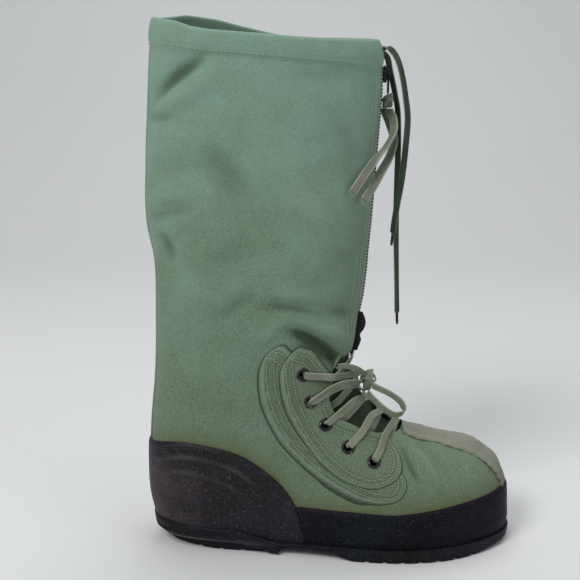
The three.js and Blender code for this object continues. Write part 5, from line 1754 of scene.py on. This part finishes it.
def make_zip():
    rows = front_rows(166, 408, 150)
    columns = np.linspace(-5.4, 5.4, 19)
    turns = turn_at_y(rows, columns)
    s = np.broadcast_to(rows[:, None], turns.shape)
    base = face(s, turns)
    cord = 0.9 * np.exp(-(((np.abs(columns) - 2.0) / 0.9) ** 2))
    lift = -1.3 + cord + 0.15 * np.sin(rows * 30)[:, None]
    points = base + face_normal(s, turns) * (lift + crease(base))[..., None]
    attributes = cloth_attributes(points.reshape(-1, 3), np.zeros(points.size // 3))
    tapes = new_mesh(
        "zip_tapes", points.reshape(-1, 3), grid_faces(*turns.shape), zip_tape, uv=grid_uv(points), attributes=attributes
    )
    fix_normals(tapes)
    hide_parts("zip")
    thick = tapes.modifiers.new("thickness", "SOLIDIFY")
    thick.thickness = 0.7 * MM
    thick.offset = -1
    heights = np.arange(204, 404.5, 1.35)
    marks = np.interp(heights, face(np.linspace(9, LAST, 900), 0.0)[:, 2], np.linspace(9, LAST, 900))
    turn_rows = turn_at_y(marks, np.array([-1.15, 1.15]))
    points, faces = [], []
    for k, s_mark in enumerate(marks):
        side = k % 2
        turn = turn_rows[k, side]
        normal = face_normal(s_mark, turn)
        centre = skin(s_mark, turn) + normal * 0.4
        along = unit(face(min(s_mark + 0.05, LAST), turn) - face(s_mark - 0.05, turn))
        across = np.cross(normal, along)
        start = len(points)
        points += tooth_block(centre, across, along, normal, (1.35, 0.55, 1.25))
        for r in range(3):
            for c in range(8):
                d = (c + 1) % 8
                faces.append((start + r * 8 + c, start + r * 8 + d, start + r * 8 + 8 + d, start + r * 8 + 8 + c))
        faces.append(tuple(start + 24 + c for c in range(8)))
        faces.append(tuple(start + c for c in reversed(range(8))))
    teeth = new_mesh("zip_teeth", points, faces, black_metal, attributes={"rubbed": np.full(len(points), 0.5)}, flat=True)


def make_slider():
    body = soft_plate("slider_body", np.array([129.5, 0, 396.0]), (1.5, 4.6, 6.6), (5, 3.2), black_metal, body=None)
    wings = soft_plate("slider_wings", np.array([130.3, 0, 400.0]), (0.9, 3.4, 3.0), (4, 2.6), black_metal, body=None)
    arch_rows = [(130.4, 0, 394.6), (131.9, 0, 394.8), (133.4, 0, 396.0), (134.0, 0, 398.8), (133.4, 0, 401.8),
                 (131.9, 0, 403.0), (130.4, 0, 403.2)]
    arch = tube("slider_arch", soft_line(arch_rows, 30), 0.62, black_metal, body=None)
    whole = join("slider", [body, wings, arch])
    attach(whole, "root")
    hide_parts("zip_slider")
    stop_place = front_rows(406.2, 407, 2)[0]
    stop = soft_plate("zip_stop", skin(stop_place, 0.0) + [0.6, 0, 0], (1.2, 2.6, 1.5), (3.5, 3), black_metal)


def make_pull():
    x = PIVOT[0]
    frame_rows = [(x, -2.9, 391.0), (x, -2.9, 396.4), (x, -2.4, 398.7), (x, 0, 399.0), (x, 2.4, 398.7),
                  (x, 2.9, 396.4), (x, 2.9, 391.0)]
    legs = tube("pull_legs", soft_line(frame_rows, 40), 0.8, black_metal, body=None)
    plate = soft_plate("pull_plate", np.array([x, 0, 386.4]), (0.75, 3.8, 5.6), (5, 3.4), black_metal, body=None)
    whole = join("pull_tab", [legs, plate])
    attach(whole, "zip_pull")
    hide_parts("zip_pull")


FOLD_BULGES = [1.5, 4.5, 6.0, 5.0, 2.5, 4.5, 3.0, 1.2]


def make_zip_fold():
    """The end of the zip's tape, folded back on itself. Its black colour is painted shadow, the shade in the opening
    below the zip's end.
    """
    count = 60
    rows = front_rows(169.3, 202.7, count)
    share = np.linspace(0, 1, count)
    bulge = np.interp(share, np.linspace(0, 1, len(FOLD_BULGES)), FOLD_BULGES[::-1])
    bulge = smooth_columns(smooth_columns(bulge, 3), 3)
    turns = np.linspace(0, 2 * np.pi, 20, endpoint=False)
    points = np.zeros((count, 20, 3))
    for k, s in enumerate(rows):
        base = face(s, 0.0)
        out = face_normal(s, 0.0)
        middle = 0.4 + bulge[k] / 2
        reach_out = 2.1 + bulge[k] / 2
        lean = 0.5 * math.sin(share[k] * 9)
        for c, a in enumerate(turns):
            pinch = 1 - 0.25 * math.cos(a) ** 2 + 0.12 * math.sin(3 * a + 14 * share[k])
            points[k, c] = base + out * (middle + reach_out * math.cos(a)) + np.array([0, 1, 0]) * (
                1.55 * math.sin(a) * pinch + lean * 0.3
            )
    flat = points.reshape(-1, 3)
    faces = [tuple(f) for f in grid_faces(count, 20, closed=True)]
    faces.append(tuple(reversed(range(20))))
    faces.append(tuple(range(len(flat) - 20, len(flat))))
    uv = np.stack(np.meshgrid(np.linspace(-1, 1, 20), share * 34), -1).reshape(-1, 2)
    fold = new_mesh("zip_fold_tape", flat, faces, shadow_black_cloth, uv=uv)
    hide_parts("zip_fold")


# Rows of stitches along the hem and the slit
def hem_line():
    count = 240
    s = np.linspace(17, LAST, 160)
    turn = np.linspace(0.14, 2 * np.pi - 0.14, count)
    down = below_collar(face(s[:, None], turn[None, :]))
    found = np.array([np.interp(-HEM_HEIGHT + 1.6, -down[:, k], s) for k in range(count)])
    return found, turn


def collect_stitches():
    s, turn = hem_line()
    base = face(s, turn)
    hem = skin(s, turn, hem_offset(base) + 0.12)
    hem = hem + np.array([0, 0, 1.0]) * collar_shift(hem)[:, None]
    STITCH_LINES.append((hem, face_normal(s, turn), 3.4, False))
    loose = []
    rows = front_rows(206, 392, 150)
    for side in (-1, 1):
        for y in (16.0, 21.5):
            turns = turn_at_y(rows, np.array([side * y]))[:, 0]
            loose.append((skin(rows, turns, 0.3), face_normal(rows, turns), 2.7, False))
    low = front_rows(206, 262, 60)
    for side in (-1, 1):
        turns = turn_at_y(low, np.array([side * 26.0]))[:, 0]
        loose.append((skin(low, turns, 0.3), face_normal(low, turns), 3.0, False))
    return loose


# Camera, floor and lights
def add_camera():
    data = bpy.data.cameras.new("camera")
    data.sensor_width = 36
    data.lens = 36 * 900 / 580
    camera = bpy.data.objects.new("camera", data)
    camera.location = (0.055, -0.727, 0.403)
    camera.rotation_euler = (math.radians(90 - 14.04), 0, 0)
    bpy.context.collection.objects.link(camera)
    bpy.context.scene.camera = camera


def stage_material(name, color, roughness):
    n = Nodes(name)
    tone = n.mix(n.math("MULTIPLY", n.noise(3, 3, 0.5), 0.12), color, rgb(186, 187, 188))
    return n.finish(tone, roughness, specular=0.15)


def add_floor():
    """A pale floor that turns up into a plain backdrop."""
    rows = [(y, 0.0) for y in np.linspace(-4, 1.1, 12)]
    rows += [(1.1 + 0.9 * math.sin(a), 0.9 - 0.9 * math.cos(a)) for a in np.linspace(0.1, math.pi / 2, 16)]
    rows += [(2.0, z) for z in (1.6, 2.6, 4.0)]
    points = [(x * 1000, y * 1000, z * 1000) for y, z in rows for x in (-4.5, 4.5)]
    floor = new_mesh("floor", points, grid_faces(len(rows), 2), stage_material("floor", rgb(222, 223, 223), 0.8), body=None)


def add_light(name, place, target, size, power, color=(1, 1, 1)):
    data = bpy.data.lights.new(name, "AREA")
    data.shape = "RECTANGLE"
    data.size, data.size_y = size
    data.energy = power
    data.color = color
    light = bpy.data.objects.new(name, data)
    light.location = place
    light.rotation_euler = (Vector(target) - Vector(place)).to_track_quat("-Z", "Y").to_euler()
    bpy.context.collection.objects.link(light)


def add_lights():
    world = bpy.data.worlds.new("studio")
    world.use_nodes = True
    background = world.node_tree.nodes["Background"]
    background.inputs[0].default_value = (0.93, 0.96, 1.0, 1)
    background.inputs[1].default_value = 0.3
    bpy.context.scene.world = world
    bpy.context.scene.view_settings.view_transform = "Standard"
    middle = (0.05, 0, 0.2)
    add_light("key", (-0.9, -1.1, 1.7), middle, (0.75, 0.75), 24)
    add_light("fill", (1.7, -1.0, 1.1), middle, (1.2, 1.2), 6, (0.97, 0.99, 1.0))
    add_light("top", (0.3, 0.5, 2.2), middle, (1.8, 1.4), 20)


add_camera()
add_floor()
add_lights()
hanging_cord("drawcord_tape_outer", "drawcord_outer", DRAWCORD_OUTER, 5.0, 0.5)
hanging_cord("drawcord_tape_inner", "drawcord_inner", DRAWCORD_INNER, 5.0, -0.7)
make_tails()
make_bow()
knot("lace_knot", "bow_knot", BOW_KNOT, (6.2, 5.2, 6.6), 0.4, 5.8, lace_tape, "root",
     (1.0, -0.15, 0.25), (8.6, 5.0, 1.5))
knot("tape_knot", "pull_knot", PULL_KNOT, (3.4, 4.6, 4.6), 1.2, 5.4, khaki, "zip_pull",
     (1.0, 0.3, 0.4), (5.0, 4.0, 1.4))
make_upper()
make_corner("outer")
make_corner("inner")
make_back_seam()
make_toe_tape()
make_tongue()
make_counter()
make_foxing()
make_outsole()
make_insole()
for side_name, side_sign, side_seats in (("outer", -1, OUTER_SEATS), ("inner", 1, INNER_SEATS)):
    make_overlay(f"patch_cloth_{side_name}", f"patch_{side_name}", PATCH_OUTLINE, side_sign, GAP, PATCH_THICKNESS,
                 0.4, side_seats)
    make_overlay(f"stay_cloth_{side_name}", f"eyestay_{side_name}", STAY_OUTLINE, side_sign,
                 GAP + PATCH_THICKNESS + GAP, STAY_THICKNESS, 0.0, side_seats)
make_eyelets()
make_laces()
make_zip()
make_slider()
make_pull()
make_zip_fold()
loose_lines = collect_stitches()
seams = make_stitches("seam_stitches", STITCH_LINES, thread)
slit_seams = make_stitches("slit_stitches", loose_lines, thread)

bpy.context.view_layer.update()
